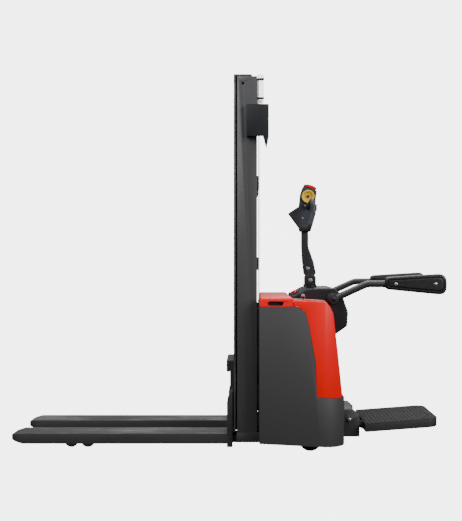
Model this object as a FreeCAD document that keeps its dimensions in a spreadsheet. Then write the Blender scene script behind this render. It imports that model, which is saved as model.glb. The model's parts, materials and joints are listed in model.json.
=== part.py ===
import FreeCAD, Part
import math
import os
import re

import Sketcher
from FreeCAD import Rotation, Vector

# A stand-on electric stacker: forks toward -X, operator toward +X, up is +Z, millimetres.
# The origin is on the floor, under the middle of the truck's overall box.

SIZES = (
    ("mast_x", 34, "front face of the inner mast rails"),
    ("inner_deep", 100.5, "inner rail, front to back"),
    ("inner_flange", 11, "inner rail flange thickness"),
    ("inner_web", 12, "inner rail web thickness"),
    ("inner_lip", 37, "inner rail flange width toward the middle"),
    ("rail_groove", 8, "gap between the front flanges of inner and outer rails"),
    ("outer_deep", 110, "outer rail, front to back"),
    ("outer_flange", 14, "outer rail flange thickness"),
    ("outer_web", 12, "outer rail web thickness"),
    ("outer_lip", 45, "outer rail flange width"),
    ("mast_half", 330, "half width over the outer rails"),
    ("rail_gap", 11, "side gap from outer lip to inner web"),
    ("mast_foot", 103, "height of the beam the mast stands on"),
    ("outer_top", 2069, "top of the outer rails"),
    ("inner_top", 2040, "top of the inner rails"),
    ("bar_low", 640, "underside of the inner mast's lower tie bar"),
    ("bar_high", 1380, "underside of the inner mast's upper tie bar"),
    ("outer_bar", 1000, "underside of the outer mast's middle tie bar"),
    ("head_tall", 40, "height of the inner mast's head beam"),
    ("lift_gap", 3, "gap under the inner mast at rest"),
    ("play", 0.3, "play around rollers in their rails"),
    ("fit", 0.05, "radial clearance of shafts in bores"),
    ("barrel_r", 20, "lift cylinder barrel radius"),
    ("rod_r", 14, "lift cylinder rod radius"),
    ("barrel_y", 190, "lift cylinders from the middle"),
    ("barrel_top", 1700, "top of the lift cylinder barrels"),
    ("sheave_r", 38, "chain sheave groove radius"),
    ("chain_y", 120, "chains from the middle"),
    ("chain_thick", 12, "chain plate depth"),
    ("chain_wide", 16, "chain width"),
    ("sheave_drop", 60, "sheave centre below the inner mast's head"),
    ("anchor_z", 1500, "chain anchor height on the outer mast"),
    ("carriage_gap", 7, "gap from the fork shank to the mast"),
    ("side_gap", 3, "gap from the carriage side plates to the inner rails"),
    ("carriage_plate", 22, "carriage side plate thickness"),
    ("carriage_top", 481, "top of the carriage"),
    ("carriage_half", 161, "half width of the carriage front"),
    ("bar_tall", 64, "height of the carriage's upper bar"),
    ("roller_low", 160, "height of the carriage's lower rollers"),
    ("roller_high", 420, "height of the carriage's upper rollers"),
    ("roller_wide", 34, "width of a mast roller"),
    ("stub_r", 14, "mast roller stub radius"),
    ("fork_long", 1210, "fork blade length"),
    ("fork_wide", 180, "fork blade width"),
    ("fork_y", 195, "fork centre from the middle"),
    ("fork_top", 88, "height of the fork's upper face"),
    ("fork_low", 32, "height of the blade's lower edge"),
    ("fork_skin", 4.5, "fork top plate thickness"),
    ("fork_wall", 6, "fork side wall thickness"),
    ("shank_thick", 32, "fork shank thickness"),
    ("shank_low", 13, "lower edge of the fork shank"),
    ("shank_top", 322, "top of the fork shank"),
    ("leg_wide", 124, "support leg width"),
    ("leg_low", 34, "underside of the support leg"),
    ("leg_top", 76, "top of the support leg"),
    ("leg_wall", 6, "support leg wall"),
    ("leg_reach", 887.6, "bogie pivot in front of the mast beam"),
    ("roller_r", 40, "load roller radius"),
    ("roller_pitch", 93, "distance between the two load rollers"),
    ("load_wide", 66, "load roller width"),
    ("axle_r", 10, "load roller axle radius"),
    ("chassis_half", 425, "half width of the chassis"),
    ("chassis_long", 473, "chassis length behind the mast"),
    ("chassis_round", 136, "plan radius of the rear corners"),
    ("panel_top", 802.5, "top of the side panels"),
    ("tie_gap", 11, "gap from the mast to the chassis"),
    ("skin", 5, "chassis cover thickness"),
    ("seam", 0.8, "seam between the covers"),
    ("plate", 8, "bulkhead thickness"),
    ("floor_rise", 40, "underside of the chassis floor above the drive axle"),
    ("floor_thick", 10, "chassis floor thickness"),
    ("lid_top", 850, "top of the battery lid"),
    ("lid_long", 178, "battery lid, front to back"),
    ("slot_long", 85, "finger slot length"),
    ("slot_tall", 23, "finger slot height"),
    ("drive_back", 55, "chassis rear behind the drive wheel"),
    ("drive_r", 115, "drive wheel radius"),
    ("drive_wide", 75, "drive wheel width"),
    ("castor_y", 302, "castors from the middle"),
    ("castor_r", 64, "castor wheel radius"),
    ("castor_wide", 50, "castor wheel width"),
    ("castor_trail", 25, "castor trail"),
    ("castor_back", 5, "castor swivel behind the steering axis"),
    ("console_half", 262, "half width of the console"),
    ("console_skin", 6, "console wall"),
    ("stop_r", 13, "emergency stop stem radius"),
    ("column_r", 17, "steering column radius"),
    ("tiller_z", 937, "height of the tiller's tilt axis"),
    ("pin_r", 7.5, "tiller pin radius"),
    ("arm_half", 30, "half width of the tiller arm"),
    ("pod_half", 48, "half width of the tiller head's middle"),
    ("grip_y", 165, "centre of the outer grips from the middle"),
    ("grip_r", 16, "grip tube radius"),
    ("rocker_r", 2.5, "lift rocker pin radius"),
    ("side_y", 290, "side arms from the middle"),
    ("side_r", 19, "side arm tube radius"),
    ("pad_half", 30, "half thickness of the arm pads"),
    ("hinge_back", 43.5, "platform hinge behind the chassis"),
    ("hinge_z", 144, "platform hinge height"),
    ("hinge_r", 8, "platform hinge pin radius"),
    ("bracket_half", 163, "half width of the platform bracket"),
    ("deck_half", 224, "half width of the platform"),
    ("deck_gap", 128, "front edge of the platform behind the chassis"),
    ("deck_long", 413, "platform length"),
    ("deck_tall", 50, "platform thickness"),
    ("deck_rise", 31, "how much the platform's rear edge stands higher"),
    ("deck_round", 60, "plan radius of the platform's rear corners"),
    ("mat_thick", 6, "platform mat thickness"),
)

document = FreeCAD.newDocument("Stacker")
sheet = document.addObject("Spreadsheet::Sheet", "Sizes")
for row, (alias, number, meaning) in enumerate(SIZES, 1):
    sheet.set(f"A{row}", meaning)
    sheet.set(f"B{row}", str(number))
    sheet.setAlias(f"B{row}", alias)

# Places worked out from the sizes, each an expression over the sheet's names.
outer_x = "(mast_x + inner_flange + rail_groove)"
outer_rear = f"({outer_x} + outer_deep)"
inner_rear = "(mast_x + inner_deep)"
inner_mid = "(mast_x + inner_deep / 2)"
mast_top = "(inner_top + head_tall)"
outer_lip_y = "(mast_half - outer_lip)"
web_out = f"({outer_lip_y} - rail_gap)"
web_in = f"({web_out} - inner_web)"
lip_in = f"({web_in} - inner_lip)"
inner_foot = "(mast_foot + lift_gap)"
chassis_x = f"({outer_rear} + tie_gap)"
chassis_rear = f"({chassis_x} + chassis_long)"
barrel_x = f"({outer_rear} - barrel_r - 1)"
sheave_x = f"({inner_mid} + 16)"
sheave_z = "(inner_top - sheave_drop)"
carriage_rear = "(mast_x - carriage_gap)"
shank_x = f"({carriage_rear} - shank_thick)"
carriage_y = f"({lip_in} - side_gap)"
tip_x = f"({shank_x} - fork_long)"
beam_x = f"({outer_x} - 2)"
bogie_x = f"({beam_x} - leg_reach)"
floor_top = "(floor_z + floor_thick)"
lid_x = f"({chassis_x} + skin)"
lid_low = "(panel_top + seam)"
PLACES = (
    ("steer_x", f"{chassis_rear} - drive_r - drive_back", "steering axis"),
    ("hinge_x", f"{chassis_rear} + hinge_back", "platform hinge"),
    ("deck_front", f"{chassis_rear} + deck_gap", "front edge of the platform"),
    ("disc_z", "2 * drive_r + 5 + play", "top of the steering bearing, clear of the wheel"),
    ("swivel_x", "steer_x + castor_back", "castor swivel axis"),
    ("floor_z", "drive_r + floor_rise", "underside of the chassis floor"),
)
for row, (alias, formula, meaning) in enumerate(PLACES, len(SIZES) + 1):
    sheet.set(f"A{row}", meaning)
    sheet.set(f"B{row}", f"={formula}")
    sheet.setAlias(f"B{row}", alias)
    document.recompute()
ALIASES = {entry[0] for entry in SIZES + PLACES}
nodes = []
SIDES = (("left", -1), ("right", 1))


def full(text):
    """Name the sheet in front of each of its aliases."""
    return re.sub(r"[a-z][a-z_]*", lambda found: word(found.group()), str(text))


def word(name):
    return f"Sizes.{name}" if name in ALIASES else name


def value(text):
    return float(sheet.evalExpression(full(text)))


def bind(item, **links):
    for name, text in links.items():
        item.setExpression(name.replace("_", "."), full(text))
    return item


def node(item, name):
    """Keep an object as a part of the truck under its own name."""
    item.Label = name
    nodes.append(item)
    return item


def times(side, text):
    return f"{side} * ({text})"


def span(side, near, far):
    """The Y range of something on one side of the truck, lower end first."""
    return (near, far) if side > 0 else (f"-({far})", f"-({near})")


def both(half):
    return (f"-({half})", half)


def box(x, y, z):
    item = document.addObject("Part::Box", "Block")
    for side, (low, high) in zip(("Length", "Width", "Height"), (x, y, z)):
        item.setExpression(side, full(f"({high}) - ({low})"))
    for axis, (low, high) in zip("xyz", (x, y, z)):
        item.setExpression(f"Placement.Base.{axis}", full(low))
    return item


def rod(axis, across, along, radius):
    """A cylinder along an axis: across holds its two other coordinates, in X, Y, Z order."""
    item = document.addObject("Part::Cylinder", "Rod")
    turns = {"X": Rotation(Vector(0, 1, 0), 90), "Y": Rotation(Vector(1, 0, 0), -90), "Z": Rotation()}
    item.Placement.Rotation = turns[axis]
    places = list(across)
    places.insert("XYZ".index(axis), along[0])
    for letter, text in zip("xyz", places):
        item.setExpression(f"Placement.Base.{letter}", full(text))
    item.setExpression("Radius", full(radius))
    item.setExpression("Height", full(f"({along[1]}) - ({along[0]})"))
    return item


def join(*items):
    item = document.addObject("Part::MultiFuse", "Joined")
    item.Shapes = list(items)
    item.Refine = True
    return item


def cut(base, *tools):
    item = document.addObject("Part::Cut", "Cut")
    item.Base = base
    item.Tool = tools[0] if len(tools) == 1 else join(*tools)
    return item


def common(base, tool):
    item = document.addObject("Part::Common", "Shared")
    item.Base = base
    item.Tool = tool
    return item


def ring(axis, across, along, outer, inner):
    longer = (f"({along[0]}) - 1", f"({along[1]}) + 1")
    return cut(rod(axis, across, along, outer), rod(axis, across, longer, inner))


def outline(body, plane, corners):
    """A closed sketch on one of the body's own planes, each corner bound to the sheet."""
    sketch = body.newObject("Sketcher::SketchObject", "Outline")
    support = [item for item in body.Origin.OriginFeatures if item.Role == plane][0]
    sketch.AttachmentSupport = [(support, "")]
    sketch.MapMode = "FlatFace"
    points = [Vector(value(u), value(v), 0) for u, v in corners]
    count = len(points)
    for here in range(count):
        sketch.addGeometry(Part.LineSegment(points[here], points[(here + 1) % count]), False)
    for here in range(count):
        sketch.addConstraint(Sketcher.Constraint("Coincident", here, 2, (here + 1) % count, 1))
        for kind, text in zip(("DistanceX", "DistanceY"), corners[here]):
            number = sketch.addConstraint(Sketcher.Constraint(kind, -1, 1, here, 1, value(text)))
            sketch.setExpression(f"Constraints[{number}]", full(text))
    return sketch


def prism(plane, corners, along, rounds=()):
    """A padded outline; rounds lists the corners' numbers with the radius each one gets."""
    body = document.addObject("PartDesign::Body", "Prism")
    sketch = outline(body, plane, corners)
    start = f"-({along[1]})" if plane == "XZ_Plane" else along[0]
    sketch.setExpression("AttachmentOffset.Base.z", full(start))
    pad = body.newObject("PartDesign::Pad", "Pad")
    pad.Profile = sketch
    pad.setExpression("Length", full(f"({along[1]}) - ({along[0]})"))
    last = pad
    for numbers, radius in rounds:
        document.recompute()
        places = [tuple(value(text) for text in corners[number]) for number in numbers]
        edges = corner_edges(last.Shape, plane, places)
        fillet = body.newObject("PartDesign::Fillet", "Rounded")
        fillet.Base = (last, edges)
        fillet.setExpression("Radius", full(radius))
        last = fillet
    return body


def corner_edges(shape, plane, places):
    """Names of the edges that run through the corners, square to the outline."""
    pick = {"XY_Plane": (0, 1), "XZ_Plane": (0, 2), "YZ_Plane": (1, 2)}[plane]
    names = []
    for number, edge in enumerate(shape.Edges, 1):
        ends = [tuple(point.Point[axis] for axis in pick) for point in edge.Vertexes]
        for place in places:
            if len(ends) == 2 and all(abs(end[k] - place[k]) < 0.001 for end in ends for k in (0, 1)):
                names.append(f"Edge{number}")
    return names


def turned(corners, x, y, z):
    """A solid of revolution about a Y axis: corners are pairs of Y and radius."""
    body = document.addObject("PartDesign::Body", "Turned")
    sketch = outline(body, "YZ_Plane", corners)
    solid = body.newObject("PartDesign::Revolution", "Turn")
    solid.Profile = sketch
    solid.ReferenceAxis = (sketch, ["H_Axis"])
    solid.Angle = 360
    for letter, text in zip("xyz", (x, y, z)):
        body.setExpression(f"Placement.Base.{letter}", full(text))
    return body


def wheel(x, y, z, radius, wide, bore, edge):
    """A plain wheel with bevelled edges and a bore, lying across the truck."""
    half = f"({wide}) / 2"
    corners = (
        (f"-({half})", bore),
        (half, bore),
        (half, f"({radius}) - {edge}"),
        (f"({half}) - {edge}", radius),
        (f"{edge} - ({half})", radius),
        (f"-({half})", f"({radius}) - {edge}"),
    )
    return turned(corners, x, y, z)


def tube_shape(points, radius, bend):
    """A bent round tube through the points, with an arc of the bend radius at each turn."""
    edges = []
    start = points[0]
    for before, here, after in zip(points, points[1:], points[2:]):
        inward = (before - here).normalize()
        outward = (after - here).normalize()
        half_turn = (-inward).getAngle(outward) / 2
        reach = bend * math.tan(half_turn)
        first = here + inward * reach
        last = here + outward * reach
        bisector = (inward + outward).normalize()
        centre = here + bisector * (bend / math.cos(half_turn))
        middle = centre - bisector * bend
        edges.append(Part.makeLine(start, first))
        edges.append(Part.Arc(first, middle, last).toShape())
        start = last
    edges.append(Part.makeLine(start, points[-1]))
    path = Part.Wire(edges)
    profile = Part.Wire(Part.makeCircle(radius, points[0], points[1] - points[0]))
    return path.makePipeShell([profile], True, True)


def outer_rail(name, side):
    flange_in = "mast_half - outer_web"
    corners = [
        (outer_x, "mast_half"),
        (outer_rear, "mast_half"),
        (outer_rear, outer_lip_y),
        (f"{outer_rear} - outer_flange", outer_lip_y),
        (f"{outer_rear} - outer_flange", flange_in),
        (f"{outer_x} + outer_flange", flange_in),
        (f"{outer_x} + outer_flange", outer_lip_y),
        (outer_x, outer_lip_y),
    ]
    corners = [(x, times(side, y)) for x, y in corners]
    rail = prism("XY_Plane", corners, ("mast_foot", "outer_top"))
    hole = rod("Y", (inner_mid, "outer_top - 40"), span(side, outer_lip_y, "mast_half + 5"), 7)
    node(cut(rail, hole), f"outer_rail_{name}")


def inner_rail(name, side):
    front_y = "mast_half - 2"
    rear_y = "mast_half - outer_web - 12"
    front = "mast_x + inner_flange"
    rear = f"{inner_rear} - inner_flange"
    corners = [
        ("mast_x", lip_in),
        ("mast_x", front_y),
        (front, front_y),
        (front, web_out),
        (rear, web_out),
        (rear, rear_y),
        (inner_rear, rear_y),
        (inner_rear, lip_in),
        (rear, lip_in),
        (rear, web_in),
        (front, web_in),
        (front, lip_in),
    ]
    corners = [(x, times(side, y)) for x, y in corners]
    rail = prism("XY_Plane", corners, (inner_foot, "inner_top"))
    notch_z = (f"{inner_foot} - 1", f"{foot_z} + {foot_r} + 7.6")
    notch = box((f"{rear} - 1", f"{inner_rear} + 1"), span(side, web_out, f"{rear_y} + 1"), notch_z)
    stub = rod("Y", (foot_x, foot_z), span(side, web_out, f"{web_out} + roller_wide + 6"), "stub_r")
    node(join(cut(rail, notch), stub), f"inner_rail_{name}")


foot_x = f"({outer_x} + outer_deep / 2)"
foot_r = "(outer_deep / 2 - outer_flange - play)"
foot_z = f"({inner_foot} + {foot_r} + 5)"
mast_roller_r = "(inner_deep / 2 - inner_flange - play)"


def mast_rollers(name, x, z, radius, middle):
    bore = "stub_r + fit"
    pair = [wheel(x, times(side, middle), z, radius, "roller_wide", bore, 3) for label, side in SIDES]
    node(join(*pair), name)


def inner_crossbars():
    blocks = [box(("mast_x", inner_rear), both(web_out), ("inner_top", mast_top))]
    blocks.append(box(("mast_x", inner_rear), both("mast_half - 2"), ("outer_top + 2", mast_top)))
    blocks.append(box(("mast_x", "mast_x + inner_flange"), both("mast_half - 2"), ("inner_top", mast_top)))
    for label, side in SIDES:
        blocks.append(
            box(
                (f"{inner_rear} - 10", f"{barrel_x} + barrel_r"),
                span(side, "barrel_y - barrel_r", "barrel_y + barrel_r"),
                ("inner_top", "inner_top + head_tall / 2"),
            )
        )
        for near in ("chain_y - 17", "chain_y + 13"):
            cheek_x = (f"{sheave_x} - 15", f"{sheave_x} + 15")
            blocks.append(box(cheek_x, span(side, near, f"{near} + 4"), (f"{sheave_z} - 15", "inner_top")))
        blocks.append(rod("Y", (sheave_x, sheave_z), span(side, "chain_y - 17", "chain_y + 17"), 8))
        for low in tie_bars:
            end_y = span(side, f"{lip_in} - 13", lip_in)
            blocks.append(box((bar_x, inner_rear), end_y, (low, f"{low} + 60")))
    for low in tie_bars:
        blocks.append(box((bar_x, bar_rear), both(f"{lip_in} - 12"), (low, f"{low} + 60")))
    node(join(*blocks), "inner_crossbars")


tie_bars = ("bar_low", "bar_high")
bar_rear = f"({barrel_x} - barrel_r - 2)"
bar_x = f"({bar_rear} - 12)"


tie_strips = ((110, 190), (235, 370), (415, 575), (610, 790))


def outer_crossbars():
    rear = f"{outer_rear} + tie_gap - 0.5"
    blocks = []
    for low in ("outer_bar", "anchor_z - 50", "outer_top - 79"):
        blocks.append(box((outer_rear, rear), both("mast_half - outer_web"), (low, f"{low} + 70")))
    for label, side in SIDES:
        blocks.append(
            box(
                (f"{sheave_x} + sheave_r", f"{outer_rear} + 1"),
                span(side, "chain_y - chain_wide / 2 - 4", "chain_y + chain_wide / 2 + 4"),
                ("anchor_z - 30", "anchor_z"),
            )
        )
        tie_y = span(side, "mast_half - 30", "mast_half - outer_web")
        for strip_z in tie_strips:
            blocks.append(box((outer_rear, chassis_x), tie_y, strip_z))
    node(join(*blocks), "outer_crossbars")


def lift_cylinders():
    barrels = []
    rods = []
    for label, side in SIDES:
        y = times(side, "barrel_y")
        barrel = rod("Z", (barrel_x, y), ("mast_foot", "barrel_top"), "barrel_r")
        bore = rod("Z", (barrel_x, y), ("mast_foot + 15", "barrel_top - 20"), "rod_r + 1.5")
        gland = rod("Z", (barrel_x, y), ("barrel_top - 21", "barrel_top + 1"), "rod_r + fit")
        barrels.append(cut(barrel, bore, gland))
        rods.append(rod("Z", (barrel_x, y), ("mast_foot + 25", "inner_top"), "rod_r"))
        rods.append(rod("Z", (barrel_x, y), ("mast_foot + 25", "mast_foot + 45"), "rod_r + 1.45"))
    node(join(*barrels), "lift_cylinders")
    node(join(*rods), "lift_rods")


def chains():
    sheaves = []
    fronts = []
    rears = []
    for label, side in SIDES:
        y = times(side, "chain_y")
        half = "(chain_wide / 2)"
        corners = (
            (f"-{half} - 3", "8 + fit"),
            (f"{half} + 3", "8 + fit"),
            (f"{half} + 3", "sheave_r + 9"),
            (f"{half} + 1", "sheave_r + 9"),
            (f"{half} + 0.5", "sheave_r"),
            (f"-{half} - 0.5", "sheave_r"),
            (f"-{half} - 1", "sheave_r + 9"),
            (f"-{half} - 3", "sheave_r + 9"),
        )
        sheaves.append(turned(corners, sheave_x, y, sheave_z))
        wide = span(side, f"chain_y - {half}", f"chain_y + {half}")
        front = (f"{sheave_x} - sheave_r - chain_thick", f"{sheave_x} - sheave_r - 0.3")
        rear = (f"{sheave_x} + sheave_r + 0.3", f"{sheave_x} + sheave_r + chain_thick")
        fronts.append(box(front, wide, ("carriage_top", sheave_z)))
        rears.append(box(rear, wide, ("anchor_z", sheave_z)))
    node(join(*sheaves), "chain_sheaves")
    node(join(*fronts), "front_chains")
    node(join(*rears), "rear_chains")


def carriage_frame():
    rear = f"({inner_rear} - 28)"
    bar = ("carriage_top - bar_tall", "carriage_top")
    low_bar = ("roller_low - 40", "roller_low + 20")
    blocks = [
        box((f"{shank_x} - 5", "mast_x - 25"), both("carriage_half"), bar),
        box(("mast_x - 26", rear), both("carriage_half"), ("carriage_top - 10", "carriage_top")),
        box(("mast_x + 6", rear), both(carriage_y), ("carriage_top - bar_tall", "carriage_top - 10")),
        box((carriage_rear, "mast_x + 4"), both(f"{carriage_y} - 10"), low_bar),
    ]
    for label, side in SIDES:
        plate_z = (f"roller_low - {mast_roller_r} - 8", "carriage_top - 11")
        plate_y = span(side, f"{carriage_y} - carriage_plate", carriage_y)
        blocks.append(box(("mast_x - 3", rear), plate_y, plate_z))
        upright_y = span(side, "carriage_half - 21", "carriage_half")
        upright_x = (f"{carriage_rear} - 17", "mast_x + 4")
        blocks.append(box(upright_x, upright_y, ("shank_top", "carriage_top - 9")))
        blocks.append(box((carriage_rear, "mast_x + 4"), upright_y, ("roller_low - 60", "shank_top + 1")))
        for z in ("roller_low", "roller_high"):
            stub = span(side, f"{carriage_y} - 1", f"{web_in} - 1.5")
            blocks.append(rod("Y", (inner_mid, z), stub, "stub_r"))
    node(join(*blocks), "carriage_frame")


def fork(name, side):
    middle = times(side, "fork_y")
    wide = (f"{middle} - fork_wide / 2", f"{middle} + fork_wide / 2")
    side_view = (
        (tip_x, "fork_low + 22"),
        (f"{tip_x} + 70", "fork_low"),
        (shank_x, "fork_low"),
        (shank_x, "fork_top"),
        (f"{tip_x} + 45", "fork_top"),
        (f"{tip_x} + 4", "fork_top - 10"),
    )
    end = f"{shank_x} + 1"
    plan = ((tip_x, wide[0]), (end, wide[0]), (end, wide[1]), (tip_x, wide[1]))
    blade = common(
        prism("XZ_Plane", side_view, wide),
        prism("XY_Plane", plan, ("fork_low - 1", "fork_top + 1"), [((0, 3), 55)]),
    )
    shank_view = (
        (shank_x, "shank_low"),
        (carriage_rear, "shank_low"),
        (carriage_rear, "shank_top"),
        (f"{carriage_rear} - 8", "shank_top"),
        (shank_x, "shank_top - 60"),
    )
    shank = prism("XZ_Plane", shank_view, wide)
    inside = (f"{wide[0]} + fork_wall", f"{wide[1]} - fork_wall")
    channel_z = ("shank_low - 1", "fork_top - fork_skin")
    channel = box((f"{tip_x} + 80", f"{carriage_rear} + 1"), inside, channel_z)
    node(cut(join(blade, shank), channel), f"fork_{name}")


cheek = "(leg_wide / 2)"
bogie_out = f"({cheek} - 17)"


def leg(name, side):
    middle = times(side, "fork_y")
    end = f"{bogie_x} + roller_pitch / 2 + roller_r + 10"
    wide = (f"{middle} - {cheek}", f"{middle} + {cheek}")
    beam = box((end, beam_x), wide, ("leg_low", "leg_top"))
    inside = box(
        (f"{end} + leg_wall", f"{beam_x} - leg_wall"),
        (f"{wide[0]} + leg_wall", f"{wide[1]} - leg_wall"),
        ("leg_low - 1", "leg_top - leg_wall"),
    )
    blocks = [cut(beam, inside)]
    for low, high in ((wide[0], f"{wide[0]} + 12"), (f"{wide[1]} - 12", wide[1])):
        view = (
            (f"{end} + 1", "leg_low"),
            (f"{end} + 1", "leg_top"),
            (f"{bogie_x} - 30", "leg_top"),
            (f"{bogie_x} - 50", "leg_top - 15"),
            (f"{bogie_x} - 50", "leg_low"),
        )
        plate = prism("XZ_Plane", view, (low, high))
        bore = rod("Y", (bogie_x, "roller_r"), (f"{low} - 1", f"{high} + 1"), "axle_r - 2 + fit")
        blocks.append(cut(plate, bore))
    node(join(*blocks), f"leg_{name}")


def bogie(name, side):
    middle = times(side, "fork_y")
    blocks = []
    for direction in (-1, 1):
        inner = f"{middle} + {direction} * {bogie_out}"
        outer = f"{middle} + {direction} * ({bogie_out} - 8)"
        tip = f"{middle} + {direction} * {cheek}"
        low, high = (inner, outer) if direction < 0 else (outer, inner)
        view = (
            (f"{bogie_x} - roller_pitch / 2 - 20", "roller_r - 14"),
            (f"{bogie_x} + roller_pitch / 2 + 20", "roller_r - 14"),
            (f"{bogie_x} + roller_pitch / 2 + 20", "roller_r + 14"),
            (f"{bogie_x} - roller_pitch / 2 - 20", "roller_r + 14"),
        )
        blocks.append(prism("XZ_Plane", view, (low, high), [((0, 1, 2, 3), 10)]))
        stub = (tip, outer) if direction < 0 else (outer, tip)
        blocks.append(rod("Y", (bogie_x, "roller_r"), stub, "axle_r - 2"))
    for end in (-1, 1):
        x = f"{bogie_x} + {end} * roller_pitch / 2"
        axle_y = (f"{middle} - {bogie_out} + 1", f"{middle} + {bogie_out} - 1")
        blocks.append(rod("Y", (x, "roller_r"), axle_y, "axle_r"))
        place = "front" if end < 0 else "rear"
        roller = wheel(x, middle, "roller_r", "roller_r", "load_wide", "axle_r + fit", 3)
        node(roller, f"load_roller_{place}_{name}")
    node(join(*blocks), f"bogie_{name}")


def plan_view(inset, start):
    half = f"(chassis_half - {inset})"
    rear = f"{chassis_rear} - {inset}"
    return ((start, f"-{half}"), (rear, f"-{half}"), (rear, half), (start, half))


def base_frame():
    steer = ("steer_x", 0)
    beam = box((beam_x, f"{chassis_x} + plate"), both("mast_half"), ("mast_foot - 54", "mast_foot"))
    wall_x = (chassis_x, f"{chassis_x} + plate")
    bulkhead = box(wall_x, both("chassis_half - skin"), ("mast_foot - 1", "panel_top - 2.5"))
    inner = f"{chassis_rear} - skin"
    deck = box((chassis_x, f"{inner} - 101"), both("chassis_half - skin - 20"), ("floor_z", floor_top))
    flat = both("chassis_half - chassis_round - 9")
    tail = box((f"{inner} - 102", inner), flat, ("floor_z", floor_top))
    rear = box((f"{inner} - 35", inner), flat, ("floor_z - 95", "floor_z + 1"))
    hole = rod("Z", steer, ("floor_z - 1", f"{floor_top} + 1"), "drive_r")
    node(cut(join(beam, bulkhead, deck, tail, rear), hole), "base_frame")
    node(ring("Z", steer, (floor_top, "disc_z - play"), "drive_r + 17", "drive_r"), "steering_bearing")


panel_edge = (
    (f"{chassis_rear} - 162", 313),
    (f"{chassis_rear} - 168", 504),
    (f"{chassis_rear} - 187", 600),
    (f"{chassis_rear} - 203", 696),
    (f"{chassis_rear} - 223", 772),
    (f"{chassis_rear} - 268", "panel_top"),
)


def body_shell():
    view = [(chassis_x, 60), (f"{chassis_rear} + 1", 36), (f"{chassis_rear} + 1", 296)]
    view += panel_edge
    view.append((chassis_x, "panel_top"))
    outer_round = [((1, 2), "chassis_round")]
    outer = prism("XY_Plane", plan_view("0", chassis_x), (30, "panel_top + 1"), outer_round)
    inner_plan = plan_view("skin", f"{chassis_x} - 1")
    inner = prism("XY_Plane", inner_plan, (29, "panel_top + 2"), [((1, 2), "chassis_round - skin")])
    node(common(cut(outer, inner), prism("XZ_Plane", view, both("chassis_half + 1"))), "body_shell")


def motor_cover():
    edge = [(f"{x} + seam", z) for x, z in reversed(panel_edge)]
    edge[0] = (edge[0][0], lid_low)
    edge[-1] = (edge[-1][0], "313 + seam")
    view = edge + [(f"{chassis_rear} - 15", "299 + seam")] + red_line("0")
    view.append((f"{chassis_x} + skin + lid_long + 2", lid_low))
    hollow = [(f"{chassis_x} + 160", 250), (f"{chassis_rear} - 10 - skin", 250)]
    hollow += red_line("skin") + [(f"{chassis_x} + 160", "lid_top - 15 - skin")]
    inner_round = [((1, 2), "chassis_round - skin")]
    outer = common(
        prism("XY_Plane", plan_view("0", chassis_x), (290, "lid_top"), [((1, 2), "chassis_round")]),
        prism("XZ_Plane", view, both("chassis_half + 1")),
    )
    inner = common(
        prism("XY_Plane", plan_view("skin", chassis_x), (240, "lid_top + 1"), inner_round),
        prism("XZ_Plane", hollow, both("chassis_half + 1")),
    )
    hole = rod("Z", ("steer_x", 0), ("panel_top - 10", "lid_top"), "column_r + 12")
    node(cut(outer, inner, hole), "motor_cover")


def red_line(inset):
    """Rear and top of the motor cover from low to high, set in by a wall."""
    return [
        (f"{chassis_rear} - 48 - {inset}", "583"),
        (f"{chassis_rear} - 59 - {inset}", "665"),
        (f"{chassis_rear} - 71 - {inset}", "765"),
        (f"{chassis_rear} - 90 - {inset} * 0.8", f"802 - {inset} * 0.4"),
        (f"{chassis_rear} - 109", f"lid_top - 24 - {inset}"),
        (f"{chassis_x} + skin + lid_long + 2", f"lid_top - 15 - {inset}"),
    ]


def console():
    foot = f"({chassis_x} + skin + lid_long)"
    rear = chassis_rear
    top = [
        (f"{foot} + 1", "lid_top - 14.5"),
        (f"{foot} + 5", "lid_top + 1"),
        (f"{foot} + 87", "lid_top + 42"),
        (f"{foot} + 163", "lid_top + 46"),
        (f"{rear} - 45", "lid_top + 46"),
        (f"{rear} - 4", "lid_top + 2"),
        (f"{rear} + 27", 762),
        (f"{rear} + 21", 684),
        (f"{rear} - 51", 633),
        (f"{rear} - 54.5", 633),
    ]
    gap = "(-0.3)"
    under = red_line(gap)[1:]
    view = top + under[:-1] + [(f"{foot} + 2", "lid_top - 14.7")]
    inside = [
        (f"{foot} + 16", "lid_top - 8"),
        (f"{foot} + 89", "lid_top + 36"),
        (f"{foot} + 163", "lid_top + 40"),
        (f"{rear} - 48", "lid_top + 40"),
        (f"{rear} - 10", "lid_top - 1"),
        (f"{rear} + 20", 761),
        (f"{rear} + 15", 688),
        (f"{rear} - 47", 645),
        (f"{rear} - 53", 668),
        (f"{rear} - 64", 768),
        (f"{rear} - 84", 808),
        (f"{rear} - 106", "lid_top - 18"),
    ]
    shell = cut(
        prism("XZ_Plane", view, both("console_half")),
        prism("XZ_Plane", inside, both("console_half - console_skin")),
        rod("Z", ("steer_x", 0), ("panel_top", "lid_top + 60"), "column_r + 7"),
        stop_pin("stop_r + 0.5", -12, 14),
    )
    parts = [shell]
    for label, side in SIDES:
        boss = span(side, "console_half - 1", "side_y - side_r - 0.5")
        parts.append(rod("Y", (knuckle_x, knuckle_z), boss, 28))
        parts.append(rod("Y", (knuckle_x, knuckle_z), span(side, "console_half", "side_y + side_r + 9"), 9))
        washer = span(side, "side_y + side_r + 0.5", "side_y + side_r + 9")
        parts.append(rod("Y", (knuckle_x, knuckle_z), washer, 16))
    node(join(*parts), "console")


knuckle_x = f"({chassis_rear} - 59)"
knuckle_z = "(lid_top - 12)"


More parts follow.
